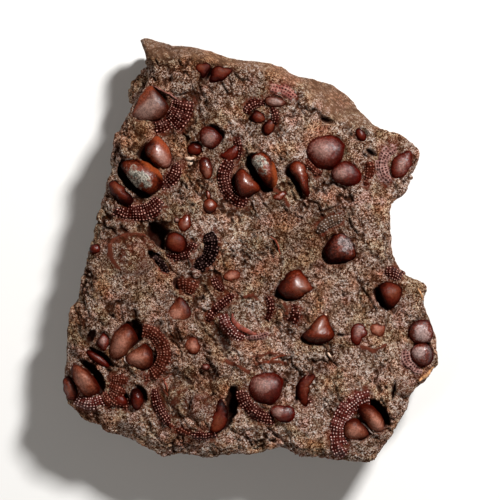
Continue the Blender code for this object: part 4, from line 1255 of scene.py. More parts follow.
    def round_lobes(self, plan: np.ndarray) -> tuple[np.ndarray, np.ndarray]:
        """Finds what lies round and under the lobes.

        Args:
            plan: The places, as rows of x and y.

        Returns:
            How near a lobe each place is, and how far under one, both 0 to 1.
        """
        near = np.zeros(len(plan))
        under = np.zeros(len(plan))
        for lobe in all_lobes():
            away = np.linalg.norm(turned_into(lobe, plan), axis=1) - 1
            near = np.maximum(near, np.exp(-np.clip(away, 0, 9) * 4))
            if lobe.finish is not Finish.ROCK:
                under = np.maximum(under, np.clip(-away / 0.3, 0, 1))
        return near, under

    def crags(self, points: np.ndarray, shade: np.ndarray) -> np.ndarray:
        """Works out the broken rock's fine relief.

        Args:
            points: The points of the surface.
            shade: How craggy the rock is at each.

        Returns:
            How far each point stands out. The underside stays flat.
        """
        plan = points[:, :2]
        turn = np.array(Matrix.Rotation(math.radians(-self.streak_heading), 2))
        streaked = plan @ turn.T / (self.streak, 1.0)
        swirl = np.column_stack((streaked, points[:, 2]))
        crag = roughness(swirl / self.crag_spacing, 4)
        patches = roughness(with_level(plan, 7.0) / self.crag_patches, 2)
        patchy = np.clip(0.55 + 0.9 * shade + 1.1 * patches, 0.4, 1.6)
        valleys = np.clip(1 - self.valley_sharpness * np.abs(crag), 0, 1) ** 2
        grain = roughness(swirl / self.grain_spacing, 2)
        rise = (0.7 * crag - valleys) * self.crag_relief * patchy + grain * self.grain_relief
        rise[points[:, 2] < self.flat_below] = 0
        return rise

    def rock_domes(
        self, plan: np.ndarray, height: np.ndarray, relief: np.ndarray, on_face: np.ndarray
    ) -> np.ndarray:
        """Raises the lobes that are bare rock.

        Args:
            plan: The places, as rows of x and y.
            height: The surface's height over each.
            relief: The fine relief there, which the domes keep.
            on_face: Whether each place is on the face.

        Returns:
            The new height over each place.
        """
        for lobe in all_lobes():
            if lobe.finish is not Finish.ROCK:
                continue
            inside = (turned_into(lobe, plan) ** 2).sum(1)
            dome = (lobe.height + self.dome_sink) * np.sqrt(np.clip(1 - inside, 0, 1))
            crown = self.face.height_at(lobe.x, lobe.y) - self.dome_sink + dome + relief
            height = np.where((inside < 1) & on_face, np.maximum(height, crown), height)
        return height

    def cut_sockets(
        self, plan: np.ndarray, height: np.ndarray, wobble: np.ndarray, on_face: np.ndarray
    ) -> tuple[np.ndarray, np.ndarray]:
        """Cuts the hollows and the gaps beside the lobes.

        Args:
            plan: The places, as rows of x and y.
            height: The surface's height over each.
            wobble: Noise that makes their edges ragged.
            on_face: Whether each place is on the face.

        Returns:
            The new height over each place, and how much was cut away there.
        """
        depth = np.zeros(len(plan))
        for hollow in self.sockets():
            slim = hollow.width < self.slim_width
            ragged = self.socket_wobble * (self.slim_ragged if slim else 1.0)
            inside = (turned_into(hollow, plan) ** 2).sum(1) * (1 + ragged * wobble)
            sunk = np.clip(1 - inside, 0, 1) ** (0.9 if slim else 0.4)
            if hollow.side is not None:
                bearing = np.arctan2(plan[:, 1] - hollow.y, plan[:, 0] - hollow.x)
                facing = np.cos(bearing - math.radians(hollow.side))
                sunk *= np.clip(0.7 + 1.2 * facing, 0, 1)
            brim = self.face.height_at(hollow.x, hollow.y)
            floor = np.minimum(height, brim - hollow.depth * sunk)
            cut = (inside < 1) & on_face
            depth = np.where(cut, np.maximum(depth, height - floor), depth)
            height = np.where(cut, floor, height)
        return height, depth

    def banded(self, plan: np.ndarray, wobble: np.ndarray) -> np.ndarray:
        """How much of a rusty band covers each point of plan, 0 to 1."""
        banded = np.zeros(len(plan))
        for band in BANDS:
            away = edge_distance(plan, band.path, closed=False) + self.band_wobble * wobble
            banded = np.maximum(banded, np.clip(2.5 * (1 - away / (band.thickness / 2)), 0, 1))
        return banded

    def shade(self, plan: np.ndarray) -> np.ndarray:
        """How dark and craggy the rock is over each point of plan, 0 to 1."""
        shade = np.full(len(plan), self.base_shade)
        for spot in SHADES:
            away = np.hypot(plan[:, 0] - spot.x, plan[:, 1] - spot.y) / spot.radius
            shade += spot.rise * np.exp(-away**2)
        return np.clip(shade, 0, 1)

    def mounds(self, plan: np.ndarray) -> np.ndarray:
        """Works out how far the rock rises round the lobes.

        Args:
            plan: The places, as rows of x and y.

        Returns:
            The rise over each place, against the sides of the lobes that have no gap.
        """
        rise = np.zeros(len(plan))
        lobes = [lobe for lobe in all_lobes() if lobe.finish is not Finish.ROCK]
        radii = [np.linalg.norm(turned_into(lobe, plan), axis=1) for lobe in lobes]
        for index, lobe in enumerate(lobes):
            outside = (radii[index] - 1) * lobe.width / 2
            reach = np.where(outside > 0, self.mound_reach, self.mound_inner)
            lift = lobe.height * self.mound_share * np.exp(-(outside / reach) ** 2)
            lift[outside > 4 * self.mound_reach] = 0
            if lobe.gap:
                bearing = np.arctan2(plan[:, 1] - lobe.y, plan[:, 0] - lobe.x)
                facing = np.cos(bearing - math.radians(lobe.gap.side))
                lift *= np.clip(0.55 - facing, 0, 1)
            for other, radius in enumerate(radii):
                if other != index:
                    lift *= np.clip((radius - 0.85) / 0.35, 0, 1)
            rise = np.maximum(rise, lift)
        return rise * (1 - 0.75 * np.clip(self.face.near_fringes(plan, 0.6), 0, 1))

    def sockets(self) -> list[Hollow]:
        """Every hollow of the face, with the gap beside each lobe that has one."""
        found = list(HOLLOWS)
        for lobe in (lobe for lobe in all_lobes() if lobe.gap):
            side = math.radians(lobe.gap.side)
            across = self.socket_shift * lobe.gap.width * math.cos(side)
            up = self.socket_shift * lobe.gap.width * math.sin(side)
            share = 1 + self.socket_margin / lobe.width
            found.append(Hollow(
                lobe.x + across,
                lobe.y + up,
                lobe.length * share,
                lobe.width * share,
                lobe.heading,
                lobe.gap.depth,
                tuple((lobe.x + across + share * (x - lobe.x),
                       lobe.y + up + share * (y - lobe.y)) for x, y in lobe.outline),
                lobe.gap.side,
            ))
        return found


def face_frames(piece: bpy.types.Object) -> tuple[np.ndarray, np.ndarray]:
    """The normals and the middles of the object's faces, as rows."""
    count = len(piece.data.polygons)
    normals = np.empty(3 * count, np.float32)
    centres = np.empty(3 * count, np.float32)
    piece.data.polygons.foreach_get("normal", normals)
    piece.data.polygons.foreach_get("center", centres)
    return normals.reshape(-1, 3), centres.reshape(-1, 3)


def point_normals(piece: bpy.types.Object) -> np.ndarray:
    """The normals at the object's points, as rows."""
    normals = np.empty(3 * len(piece.data.vertices), np.float32)
    piece.data.vertex_normals.foreach_get("vector", normals)
    return normals.reshape(-1, 3).astype(float)


def add_spheroid(
    lobe: Lobe, widest: float, root: float, facets: tuple[int, int], sink: float = 0.0
) -> bpy.types.Object:
    """Models a lobe from a sphere.

    Args:
        lobe: The lobe's plan and height.
        widest: The level at which it is widest.
        root: How far it reaches down from there.
        facets: The sphere's segments round and its rings.
        sink: How far the widest level is below the rock, which the top makes up.

    Returns:
        The lobe in millimetres, painted with its crown, bloom, rim and sheer side,
        from which the glaze paints sheen and shade.
    """
    deselect_all()
    bpy.ops.mesh.primitive_uv_sphere_add(segments=facets[0], ring_count=facets[1])
    piece = bpy.context.object
    unit = points_of(piece)
    along = unit[:, 0]
    across = unit[:, 1] * (1 - lobe.narrowing * unit[:, 0])
    heading = math.radians(lobe.heading)
    ahead = np.array((math.cos(heading), math.sin(heading)))
    aside = np.array((-math.sin(heading), math.cos(heading)))
    plan = np.outer(along * lobe.length / 2, ahead) + np.outer(across * lobe.width / 2, aside)
    if lobe.outline:
        around = np.arctan2(unit[:, 1], unit[:, 0])
        plan = unit[:, :2] * outline_reach(lobe, around)[:, None]
    out = np.clip(np.linalg.norm(unit[:, :2], axis=1), 0, 1)
    dome = (1 - out**DOME_FULLNESS) ** DOME_FALL
    level = np.where(unit[:, 2] > 0, dome * (lobe.height + sink), unit[:, 2] * root)

    bearing = np.degrees(np.arctan2(plan[:, 1], plan[:, 0]))
    # The sheer side beside the gap is painted darker, as a shade.
    steep_shade = np.zeros(len(out))
    if lobe.gap:
        side = math.radians(lobe.gap.side)
        toward = np.array((math.cos(side), math.sin(side)))
        reach = (plan @ toward).max()
        beyond = plan @ toward - lobe.cut * reach
        past = np.clip(beyond, 0, None)
        plan = plan - np.outer(STEEP_PRESS * past, toward)
        steep_shade = np.clip(2 * beyond / reach + STEEP_START, 0, 1) ** STEEP_FADE
    move_points(piece, np.column_stack((plan + (lobe.x, lobe.y), widest + level)))

    # The glow places the bloom and its painted sheen: round the crown, or shifted towards the lit
    # side.
    glow = 1 - out
    if lobe.lit is not None:
        lit = math.radians(lobe.lit) - heading
        shift = BLOOM_SHIFT * np.array((math.cos(lit), math.sin(lit)))
        glow = 1 - np.linalg.norm(unit[:, :2] - shift, axis=1)
    # The rim is the bare edge; on the violet skin its darker colour is a painted shade.
    rim = np.zeros(len(out))
    if lobe.rim is not None:
        facing = np.cos(np.radians(bearing - lobe.rim))
        rim = np.clip((out * np.clip(facing, 0.2, 1) - 0.4) / 0.25, 0, 1)
    # The glaze darkens the low flanks by the crown, as a painted shade.
    paint(piece, "crown", (dome * (lobe.height + sink) - sink) / lobe.height)
    paint(piece, "glow", glow)
    paint(piece, "rim", rim)
    paint(piece, "steep_shade", steep_shade)
    return piece


@dataclass
class HeadShield:
    """The mould of one head shield: its lobes and its fringes."""

    name: str
    head: Head
    face: BareFace
    sink: float = 0.1
    sink_in_gap: float = 0.1
    root: float = 3.6
    facets: tuple[int, int] = (64, 40)
    small_facets: tuple[int, int] = (40, 24)
    small_length: float = 4.5
    dent: float = 0.022
    dent_spacing: float = 2.8
    wrinkle: float = 0.022
    wrinkle_spacing: float = 0.55
    cell: float = 0.57
    fringe_root: float = 1.6
    fringe_edge: float = -0.05
    fringe_arch: float = 0.72
    edge_relief: float = 0.35
    bead_height: float = 0.26
    steps_in: tuple[tuple[float, float], ...] = ((0.24, 0.45), (0.10, 0.75))
    pit_depth: float = 0.34
    sway: float = 0.22
    sway_spacing: float = 1.5
    cover_spacing: float = 2.0
    cover_depth: float = 0.7
    end_depth: float = 0.6

    def build(self, finishes: "FinishShelf") -> Optional[bpy.types.Object]:
        """Makes the mould.

        Args:
            finishes: Where the materials are.

        Returns:
            The joined piece in millimetres, or None where all of it is rock.
        """
        parts = []
        for lobe in self.head.lobes:
            if lobe.finish is Finish.ROCK:
                continue
            part = self.lobe_piece(lobe)
            part.data.materials.append(finishes.skin(lobe.finish))
            parts.append(part)
        for fringe in self.head.fringes:
            part = self.fringe_piece(fringe)
            part.data.materials.append(finishes.skin(fringe.weave))
            parts.append(part)
        return join(parts, self.name) if parts else None

    def lobe_piece(self, lobe: Lobe) -> bpy.types.Object:
        """A lobe rooted in its socket, with shallow dents."""
        sink = self.sink
        if lobe.gap:
            sink += self.sink_in_gap * lobe.gap.depth
        widest = self.face.height_at(lobe.x, lobe.y) - sink
        facets = self.facets if lobe.length > self.small_length else self.small_facets
        piece = add_spheroid(lobe, widest, self.root, facets, sink)
        points = points_of(piece)
        dents = self.dent * lobe.width * roughness(points / self.dent_spacing, 2)
        wrinkles = self.wrinkle * roughness(points / self.wrinkle_spacing, 3)
        move_points(piece, points + point_normals(piece) * (dents + wrinkles)[:, None])
        return piece

    def fringe_piece(self, fringe: Fringe) -> bpy.types.Object:
        """Makes a fringe: a lattice of cells, bent round and laid on the rock.

        Args:
            fringe: The band's place and sweep.

        Returns:
            The fringe in millimetres, painted with what is raised.
        """
        sweep = math.radians(fringe.end - fringe.start)
        width = fringe.outer - fringe.inner
        rows = max(2, round(width / self.cell))
        columns = max(2, round(sweep * (fringe.inner + fringe.outer) / 2 / self.cell))
        lattice = self.lattice(rows, columns, fringe.weave.value.pitted)
        points = points_of(lattice)
        across = (points[:, 0] / rows + 0.5).clip(0, 1)
        round_it = (points[:, 1] / columns + 0.5).clip(0, 1)
        uneven = roughness(with_level(points[:, :2], fringe.x + fringe.y), 1)
        raised = points[:, 2] * np.clip(0.95 + 0.9 * uneven, 0.35, 1.3)
        radius = fringe.inner + width * across
        angle = math.radians(fringe.start) + sweep * round_it
        plan = np.column_stack((
            fringe.x + radius * np.cos(angle),
            fringe.y + radius * np.sin(angle),
        ))
        for axis, level in ((0, 1.0), (1, 5.0)):
            sway = roughness(with_level(plan, level) / self.sway_spacing, 2)
            plan[:, axis] += self.sway * sway
        arch = self.fringe_edge + self.fringe_arch * np.sin(np.pi * across)
        arch += self.edge_relief * roughness(with_level(plan, 4.0) / self.sway_spacing, 2)
        from_end = np.minimum(round_it, 1 - round_it) * columns
        rocky = roughness(with_level(plan, 9.0) / self.cover_spacing, 2)
        covered = self.cover_depth * np.clip(2 * rocky - 0.7, 0, 1)
        covered += self.end_depth * np.exp(-0.7 * from_end)
        level = self.face.height(plan) + arch - covered
        move_points(lattice, np.column_stack((plan, level + raised)))
        if fringe.weave.value.pitted:
            lift = 1 + raised / self.pit_depth
        else:
            lift = raised / self.bead_height
        paint(lattice, "raised", np.clip(lift, 0, 1))
        return lattice

    def lattice(self, rows: int, columns: int, pitted: bool) -> bpy.types.Object:
        """Models the flat lattice, one unit to a cell, closed underneath.

        Args:
            rows: Cells across the band.
            columns: Cells round the band.
            pitted: Whether a cell holds a pit instead of a bead.

        Returns:
            The lattice, centred, with its heights already in millimetres.
        """
        deselect_all()
        bpy.ops.mesh.primitive_grid_add(x_subdivisions=rows, y_subdivisions=columns, size=1)
        lattice = bpy.context.object
        move_points(lattice, points_of(lattice) * (rows, columns, 1))
        bpy.ops.object.mode_set(mode="EDIT")
        bpy.ops.mesh.select_all(action="SELECT")
        step = -self.pit_depth if pitted else self.bead_height
        for inset, share in self.steps_in:
            bpy.ops.mesh.inset(thickness=inset, use_individual=True, use_even_offset=True)
            bpy.ops.transform.translate(value=(0, 0, step * share))
        bpy.ops.mesh.select_all(action="DESELECT")
        leave_edit_mode()
        apply_modifier(lattice, "SUBSURF", levels=1, render_levels=1)
        bpy.ops.object.mode_set(mode="EDIT")
        bpy.ops.mesh.select_mode(type="EDGE")
        bpy.ops.mesh.select_all(action="DESELECT")
        bpy.ops.mesh.select_non_manifold()
        bpy.ops.mesh.extrude_region()
        bpy.ops.transform.translate(value=(0, 0, -self.fringe_root))
        bpy.ops.mesh.edge_face_add()
        bpy.ops.mesh.select_all(action="SELECT")
        bpy.ops.mesh.normals_make_consistent(inside=False)
        leave_edit_mode()
        return lattice


@dataclass
class EdgeStrips:
    """Thin ridges laid along paths on the rock."""

    name: str
    edges: tuple[Edge, ...]
    face: BareFace
    stand: float = 0.35
    wobble: float = 0.18
    wobble_spacing: float = 0.9
    facets: tuple[int, int] = (10, 36)
    path_steps: int = 41
    path_rounding: int = 6

    def build(self, finishes: "FinishShelf") -> bpy.types.Object:
        """Makes every strip and joins them."""
        strips = []
        for edge in self.edges:
            strip = self.strip(edge)
            strip.data.materials.append(finishes.skin(edge.trim))
            strips.append(strip)
        return join(strips, self.name)

    def strip(self, edge: Edge) -> bpy.types.Object:
        """One strip: a sphere drawn out along its path, thickest in its middle."""
        deselect_all()
        bpy.ops.mesh.primitive_uv_sphere_add(segments=self.facets[0], ring_count=self.facets[1])
        strip = bpy.context.object
        unit = points_of(strip)
        corners = np.array(edge.path, float)
        spans = np.linalg.norm(np.diff(corners, axis=0), axis=1)
        marks = np.concatenate(([0], np.cumsum(spans))) / spans.sum()
        along = 1 - np.arccos(np.clip(unit[:, 2], -1, 1)) / math.pi
        smooth = np.linspace(0, 1, self.path_steps)
        path = np.column_stack([np.interp(smooth, marks, corners[:, axis]) for axis in (0, 1)])
        for _ in range(self.path_rounding):
            path[1:-1] = (path[:-2] + 2 * path[1:-1] + path[2:]) / 4
        middle = np.column_stack([np.interp(along, smooth, path[:, axis]) for axis in (0, 1)])
        ahead = np.gradient(path, axis=0)
        ahead /= np.linalg.norm(ahead, axis=1)[:, None]
        aside = np.column_stack((
            -np.interp(along, smooth, ahead[:, 1]), np.interp(along, smooth, ahead[:, 0])
        ))
        thin = np.maximum(np.hypot(unit[:, 0], unit[:, 1]), 1e-6) ** -0.5
        half = edge.thickness / 2
        plan = middle + aside * (unit[:, 0] * thin * half)[:, None]
        for axis, level in ((0, 2.0), (1, 6.0)):
            noisy = roughness(with_level(middle, level) / self.wobble_spacing, 2)
            plan[:, axis] += self.wobble * noisy
        ridge = unit[:, 1] * thin * half * edge.tall
        level = self.face.height(middle) + self.stand * half + ridge
        move_points(strip, np.column_stack((plan, level)))
        return strip


# ------------------------------------------------------------------- materials


class Wiring:
    """A node tree with short ways to add and join its nodes."""

    def __init__(self, tree: bpy.types.NodeTree) -> None:
        """Takes the tree that is to be wired."""
        self.tree = tree

    def feed(self, socket: bpy.types.NodeSocket, value: SocketValue) -> None:
        """Links a socket to another, or sets its value."""
        if isinstance(value, bpy.types.NodeSocket):
            self.tree.links.new(value, socket)
        else:
            socket.default_value = value

    def node(self, kind: str, inputs: dict, **settings: object) -> bpy.types.Node:
        """Adds a node.

        Args:
            kind: The node's type without its ShaderNode prefix.
            inputs: What goes into each input, by name or number.
            settings: The node's own values.

        Returns:
            The node.
        """
        node = self.tree.nodes.new(f"ShaderNode{kind}")
        for name, value in settings.items():
            setattr(node, name, value)
        for name, value in inputs.items():
            self.feed(node.inputs[name], value)
        return node

    def mix(
        self, share: SocketValue, first: SocketValue, second: SocketValue, how: str = "MIX"
    ) -> bpy.types.NodeSocket:
        """Mixes two colours.

        Args:
            share: How much of the second shows.
            first: The colour below.
            second: The colour on top.
            how: Blender's blend type.

        Returns:
            The mixed colour.
        """
        inputs = {MIX_SHARE: share, MIX_FIRST: opaque(first), MIX_SECOND: opaque(second)}
        mixed = self.node("Mix", inputs, data_type="RGBA", blend_type=how)
        return mixed.outputs[MIX_RESULT]

    def maths(
        self, how: str, first: SocketValue, second: SocketValue = 0.0
    ) -> bpy.types.NodeSocket:
        """The result of one sum on two numbers."""
        return self.node("Math", {0: first, 1: second}, operation=how).outputs[0]

    def between(
        self, value: SocketValue, low: float, high: float, start: float = 0.0, end: float = 1.0
    ) -> bpy.types.NodeSocket:
        """Spreads a range of values smoothly over another.

        Args:
            value: What is spread.
            low: The value that gives start.
            high: The value that gives end.
            start: The result at low.
            end: The result at high.

        Returns:
            The spread value.
        """
        inputs = {0: value, 1: low, 2: high, 3: start, 4: end}
        kind = "SMOOTHSTEP" if low < high else "LINEAR"
        return self.node("MapRange", inputs, interpolation_type=kind).outputs[0]

    def blotches(
        self, place: SocketValue, size: float, detail: float = 3.0
    ) -> bpy.types.NodeSocket:
        """Noise with features of one size, in millimetres."""
        inputs = {"Vector": place, "Scale": 1 / (size * MM), "Detail": detail}
        return self.node("TexNoise", inputs).outputs["Fac"]

    def layer(self, name: str) -> bpy.types.NodeSocket:
        """The numbers painted on a piece under this name."""
        return self.node("Attribute", {}, attribute_name=name).outputs["Fac"]

    def tones(
        self, value: SocketValue, stops: tuple[tuple[float, Colour], ...]
    ) -> bpy.types.NodeSocket:
        """A colour for each value, from a row of stops."""
        ramp = self.node("ValToRGB", {0: value})
        elements = ramp.color_ramp.elements
        while len(elements) < len(stops):
            elements.new(1.0)
        for element, (place, colour) in zip(elements, stops):
            element.position = place
            element.color = opaque(colour)
        return ramp.outputs["Color"]


def opaque(colour: SocketValue) -> SocketValue:
    """A colour with its alpha, or a socket as it is."""
    return (*colour, 1.0) if isinstance(colour, tuple) and len(colour) == 3 else colour


def new_group(
    name: str,
    inputs: tuple[tuple[str, str, float], ...],
    outputs: tuple[tuple[str, str], ...],
    wire: Callable[[Wiring, bpy.types.Node, bpy.types.Node], None],
) -> bpy.types.NodeTree:
    """Builds a shader node group.

    Args:
        name: The group's name.
        inputs: Each input's name, type and value; a vector's value isn't used.
        outputs: Each output's name and type.
        wire: Wires the group between its input and output nodes.

    Returns:
        The group.
    """
    tree = bpy.data.node_groups.new(name, "ShaderNodeTree")
    for label, kind, value in inputs:
        socket = tree.interface.new_socket(label, in_out="INPUT", socket_type=f"NodeSocket{kind}")
        if kind == "Float":
            socket.default_value = value
    for label, kind in outputs:
        tree.interface.new_socket(label, in_out="OUTPUT", socket_type=f"NodeSocket{kind}")
    into = tree.nodes.new("NodeGroupInput")
    out = tree.nodes.new("NodeGroupOutput")
    wire(Wiring(tree), into, out)
    return tree


def wire_grains(wiring: Wiring, into: bpy.types.Node, out: bpy.types.Node) -> None:
    """Packed grains: a tone for each, the pores between them, and their height."""
    place, scale = into.outputs["Place"], into.outputs["Scale"]
    warp = wiring.node("TexNoise", {"Vector": place, "Scale": scale, "Detail": 1.0})
    shift = wiring.node(
        "VectorMath", {0: warp.outputs["Color"], "Scale": into.outputs["Warp"]}, operation="SCALE"
    )
    moved = wiring.node("VectorMath", {0: place, 1: shift.outputs[0]}, operation="ADD").outputs[0]
    cells = wiring.node("TexVoronoi", {"Vector": moved, "Scale": scale})
    borders = wiring.node(
        "TexVoronoi", {"Vector": moved, "Scale": scale}, feature="DISTANCE_TO_EDGE"
    )
    tone = wiring.node("SeparateColor", {0: cells.outputs["Color"]}).outputs[0]
    wiring.feed(out.inputs["Tone"], tone)
    wiring.feed(out.inputs["Pore"], wiring.between(borders.outputs["Distance"], 0.02, 0.16, 1, 0))
    dome = wiring.between(borders.outputs["Distance"], 0.0, 0.42)
    lift = wiring.maths("MULTIPLY", tone, 0.6)
    height = wiring.maths("MULTIPLY", dome, wiring.maths("ADD", lift, 0.4))
    wiring.feed(out.inputs["Height"], height)


def wire_patches(wiring: Wiring, into: bpy.types.Node, out: bpy.types.Node) -> None:
    """Soft-edged patches that cover a share of a surface."""
    field_of = wiring.node(
        "TexNoise",
        {"Vector": into.outputs["Place"], "Scale": into.outputs["Scale"], "Detail": 4.0,
         "W": into.outputs["Seed"]},
        noise_dimensions="4D",
    ).outputs["Fac"]
    above = wiring.maths("SUBTRACT", field_of, into.outputs["Threshold"])
    soft = wiring.maths("DIVIDE", above, into.outputs["Softness"])
    wiring.feed(out.inputs["Mask"], wiring.node("Clamp", {0: soft}).outputs[0])


@dataclass
class FinishShelf:
    """Makes each material once and hands it to every piece that wears it."""

    stone: StoneGrain = StoneGrain()
    flank_gloss: float = 0.015
    lace_gloss: float = 0.16
    trim_gloss: float = 0.20
    made: dict = field(default_factory=dict)

    def __post_init__(self) -> None:
        """Builds the shared node groups."""
        place = ("Place", "Vector", 0.0)
        self.grains = new_group(
            "packed_grains",
            (place, ("Scale", "Float", 2000.0), ("Warp", "Float", 0.0002)),
            (("Tone", "Float"), ("Pore", "Float"), ("Height", "Float")),
            wire_grains,
        )
        self.patches = new_group(
            "soft_patches",
            (place, ("Scale", "Float", 100.0), ("Threshold", "Float", 0.5),
             ("Softness", "Float", 0.1), ("Seed", "Float", 0.0)),
            (("Mask", "Float"),),
            wire_patches,
        )

    def new_material(self, name: str) -> tuple[bpy.types.Material, Wiring, bpy.types.Node]:
        """A bare material, its wiring and its Principled shader."""
        material = bpy.data.materials.new(name)
        material.use_nodes = True
        shader = material.node_tree.nodes["Principled BSDF"]
        return material, Wiring(material.node_tree), shader

    def grain_node(
        self, wiring: Wiring, place: SocketValue, size: float, warp: float = 0.4
    ) -> bpy.types.Node:
        """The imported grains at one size, in millimetres."""
        node = wiring.tree.nodes.new("ShaderNodeGroup")
        node.node_tree = self.grains
        wiring.feed(node.inputs["Place"], place)
        wiring.feed(node.inputs["Scale"], 1 / (size * MM))
        wiring.feed(node.inputs["Warp"], warp * size * MM)
        return node

    def patch(
        self, wiring: Wiring, place: SocketValue, size: float, threshold: float,
        softness: float = 0.08, seed: float = 0.0,
    ) -> bpy.types.NodeSocket:
        """Lays soft patches on a surface.

        Args:
            wiring: The material's wiring.
            place: The coordinates.
            size: The patches' size in millimetres.
            threshold: The noise value at which a patch begins.
            softness: How far above it the patch is whole.
            seed: Which of the many patterns.

        Returns:
            The patches as a mask.
        """
        node = wiring.tree.nodes.new("ShaderNodeGroup")
        node.node_tree = self.patches
        values = {"Place": place, "Scale": 1 / (size * MM), "Threshold": threshold,
                  "Softness": softness, "Seed": seed}
        for name, value in values.items():
            wiring.feed(node.inputs[name], value)
        return node.outputs["Mask"]

    def skin(self, choice: Union[Finish, Weave, Trim]) -> bpy.types.Material:
        """The material of one skin, made when it is first asked for."""
        if choice not in self.made:
            makers = {Finish: self.glaze, Weave: self.lace, Trim: self.trim}
            self.made[choice] = makers[type(choice)](choice.name.lower(), choice.value)
        return self.made[choice]

    def sandstone(self) -> bpy.types.Material:
        """The rock's material, from its grains, patches and painted layers."""
        stone = self.stone
        material, wiring, shader = self.new_material(stone.name)
        place = wiring.node("TexCoord", {}).outputs["Object"]
        grains = self.grain_node(wiring, place, stone.grain_size, stone.grain_warp)
        fine = self.grain_node(wiring, place, stone.fine_size, stone.grain_warp)
        tone = wiring.maths("ADD", wiring.maths("MULTIPLY", grains.outputs["Tone"], 0.5),
                            wiring.maths("MULTIPLY", fine.outputs["Tone"], 0.5))
        smear = wiring.blotches(place, stone.smear_size, 6.0)
        smear = wiring.between(smear, 0.3, 0.7, -stone.smear, stone.smear)
        tone = wiring.maths("ADD", tone, smear)
        shade = wiring.layer("shade")
        swing = wiring.maths("MULTIPLY", wiring.maths("SUBTRACT", tone, 0.5),
                             wiring.between(shade, 0.0, 0.6, 0.78, 1.0))
        tone = wiring.maths("ADD", swing, 0.5)
        colour = wiring.tones(wiring.between(tone, *stone.tone_span), stone.tones)
        for seed, patch in enumerate(stone.patches, 1):
            mask = self.patch(wiring, place, patch.size, patch.threshold, 0.1, 3.7 * seed)
            share = wiring.maths("MULTIPLY", mask, patch.amount)
            colour = wiring.mix(share, colour, patch.tint, "MULTIPLY")
        colour = wiring.mix(shade, colour, stone.dark_tint, "MULTIPLY")
        pores = wiring.maths("MULTIPLY", grains.outputs["Pore"],
                             wiring.between(shade, 0.0, 0.6, 0.40, 0.65))
        colour = wiring.mix(pores, colour, stone.pore)
        # Painted shade in the crevices, in the pores' colour.
        crevice_shade = wiring.between(wiring.layer("crevice_shade"), 0.14, 0.85, 0.0, stone.crevice_shade_share)
        colour = wiring.mix(crevice_shade, colour, stone.pore)

        rind = wiring.layer("rind")
        mottle = wiring.blotches(place, 2.0, 6.0)
        weathered = wiring.mix(wiring.between(mottle, 0.3, 0.7), stone.rind_dark, stone.rind_pale)
        weathered = wiring.mix(0.25, weathered, colour)
        colour = wiring.mix(wiring.maths("MULTIPLY", rind, stone.rind_share), colour, weathered)

        cover = wiring.maths("ADD", self.patch(wiring, place, 1.2, 0.40, 0.22, 31.0), 0.12)
        stained = wiring.maths("MULTIPLY", wiring.layer("stain"), cover)
        stained = wiring.between(stained, 0.0, 1.0, 0.0, stone.stain_share)
        colour = wiring.mix(stained, colour, stone.stain)
        colour = wiring.mix(wiring.between(wiring.layer("band"), 0.0, 0.8), colour, stone.band)
        # Painted shade: the hollows and gaps darken almost to black with their depth.
        hollow = wiring.layer("hollow")
        sunk = wiring.between(hollow, 0.1, 0.8, 0.0, stone.hollow_shade_share)
        colour = wiring.mix(sunk, colour, stone.hollow)
        wiring.feed(shader.inputs["Base Color"], colour)
        shader.inputs["Specular IOR Level"].default_value = stone.gloss
        shader.inputs["Specular Tint"].default_value = opaque(stone.gleam)
        wiring.feed(shader.inputs["Roughness"], wiring.between(
            hollow, 0.1, 0.9, stone.roughness, stone.hollow_roughness))

        calm = wiring.between(rind, 0.0, 1.0, 1.0, 0.3)
        height = wiring.maths("ADD", grains.outputs["Height"],
                              wiring.maths("MULTIPLY", fine.outputs["Height"], 0.5))
        bump = wiring.node("Bump", {
            "Height": wiring.maths("MULTIPLY", height, calm),
            "Distance": stone.relief * MM,
        })
        wiring.feed(shader.inputs["Normal"], bump.outputs["Normal"])
        return material

    def glaze(self, name: str, skin: Glaze) -> bpy.types.Material:
        """A lobe's material: painted sheen and shade from its crown, bloom, rim and gap layers.
        """
        material, wiring, shader = self.new_material(f"{name}_glaze")
        place = wiring.node("TexCoord", {}).outputs["Object"]
        crown, glow = wiring.layer("crown"), wiring.layer("glow")
        rim, steep_shade = wiring.layer("rim"), wiring.layer("steep_shade")
        mottle = wiring.blotches(place, 0.6, 5.0)
        shift = wiring.between(mottle, 0.3, 0.7, -0.12, 0.12)
        speck = self.grain_node(wiring, place, 0.24, 0.6)

        bloom = wiring.maths("ADD", glow, shift)
        # Painted shade: low down and away from the lit side the lobe darkens to its flank colour.
        slope = wiring.maths("MINIMUM", wiring.between(bloom, -0.15, 0.45),
                             wiring.between(crown, -0.05, 0.50))
        colour = wiring.mix(slope, skin.deep, skin.body)
        # Painted sheen: the bloom's colour, partly a real bloom, lies on the lit side of the
        # crown.
        haze_and_sheen = wiring.between(bloom, skin.spread, skin.spread + 0.5)
        colour = wiring.mix(haze_and_sheen, colour, skin.haze_and_sheen)
        # Painted shade on the sheer side beside the gap.
        colour = wiring.mix(wiring.maths("MULTIPLY", steep_shade, 0.9), colour, skin.deep)
        # The bare edge's colour, which on the violet skin is a painted shade.
        colour = wiring.mix(wiring.maths("MULTIPLY", rim, 0.96), colour, skin.rim)
        freckles = wiring.between(speck.outputs["Tone"], 0.0, 1.0, 1 - skin.grain, 1 + skin.grain)
        colour = wiring.mix(1.0, colour, freckles, "MULTIPLY")
        rough = wiring.between(bloom, 0.2, 0.8, skin.roughness, skin.roughness + 0.05)
        # Pale flecks of the bloom's colour on the lit side: part dust, part painted sheen.
        dust_and_sheen = self.patch(wiring, place, 0.34, 0.58, 0.06, 8.0)
        dust_and_sheen = wiring.maths("MULTIPLY", dust_and_sheen, wiring.between(bloom, 0.0, 0.5, 0.0, 0.45))
        colour = wiring.mix(dust_and_sheen, colour, skin.haze_and_sheen)
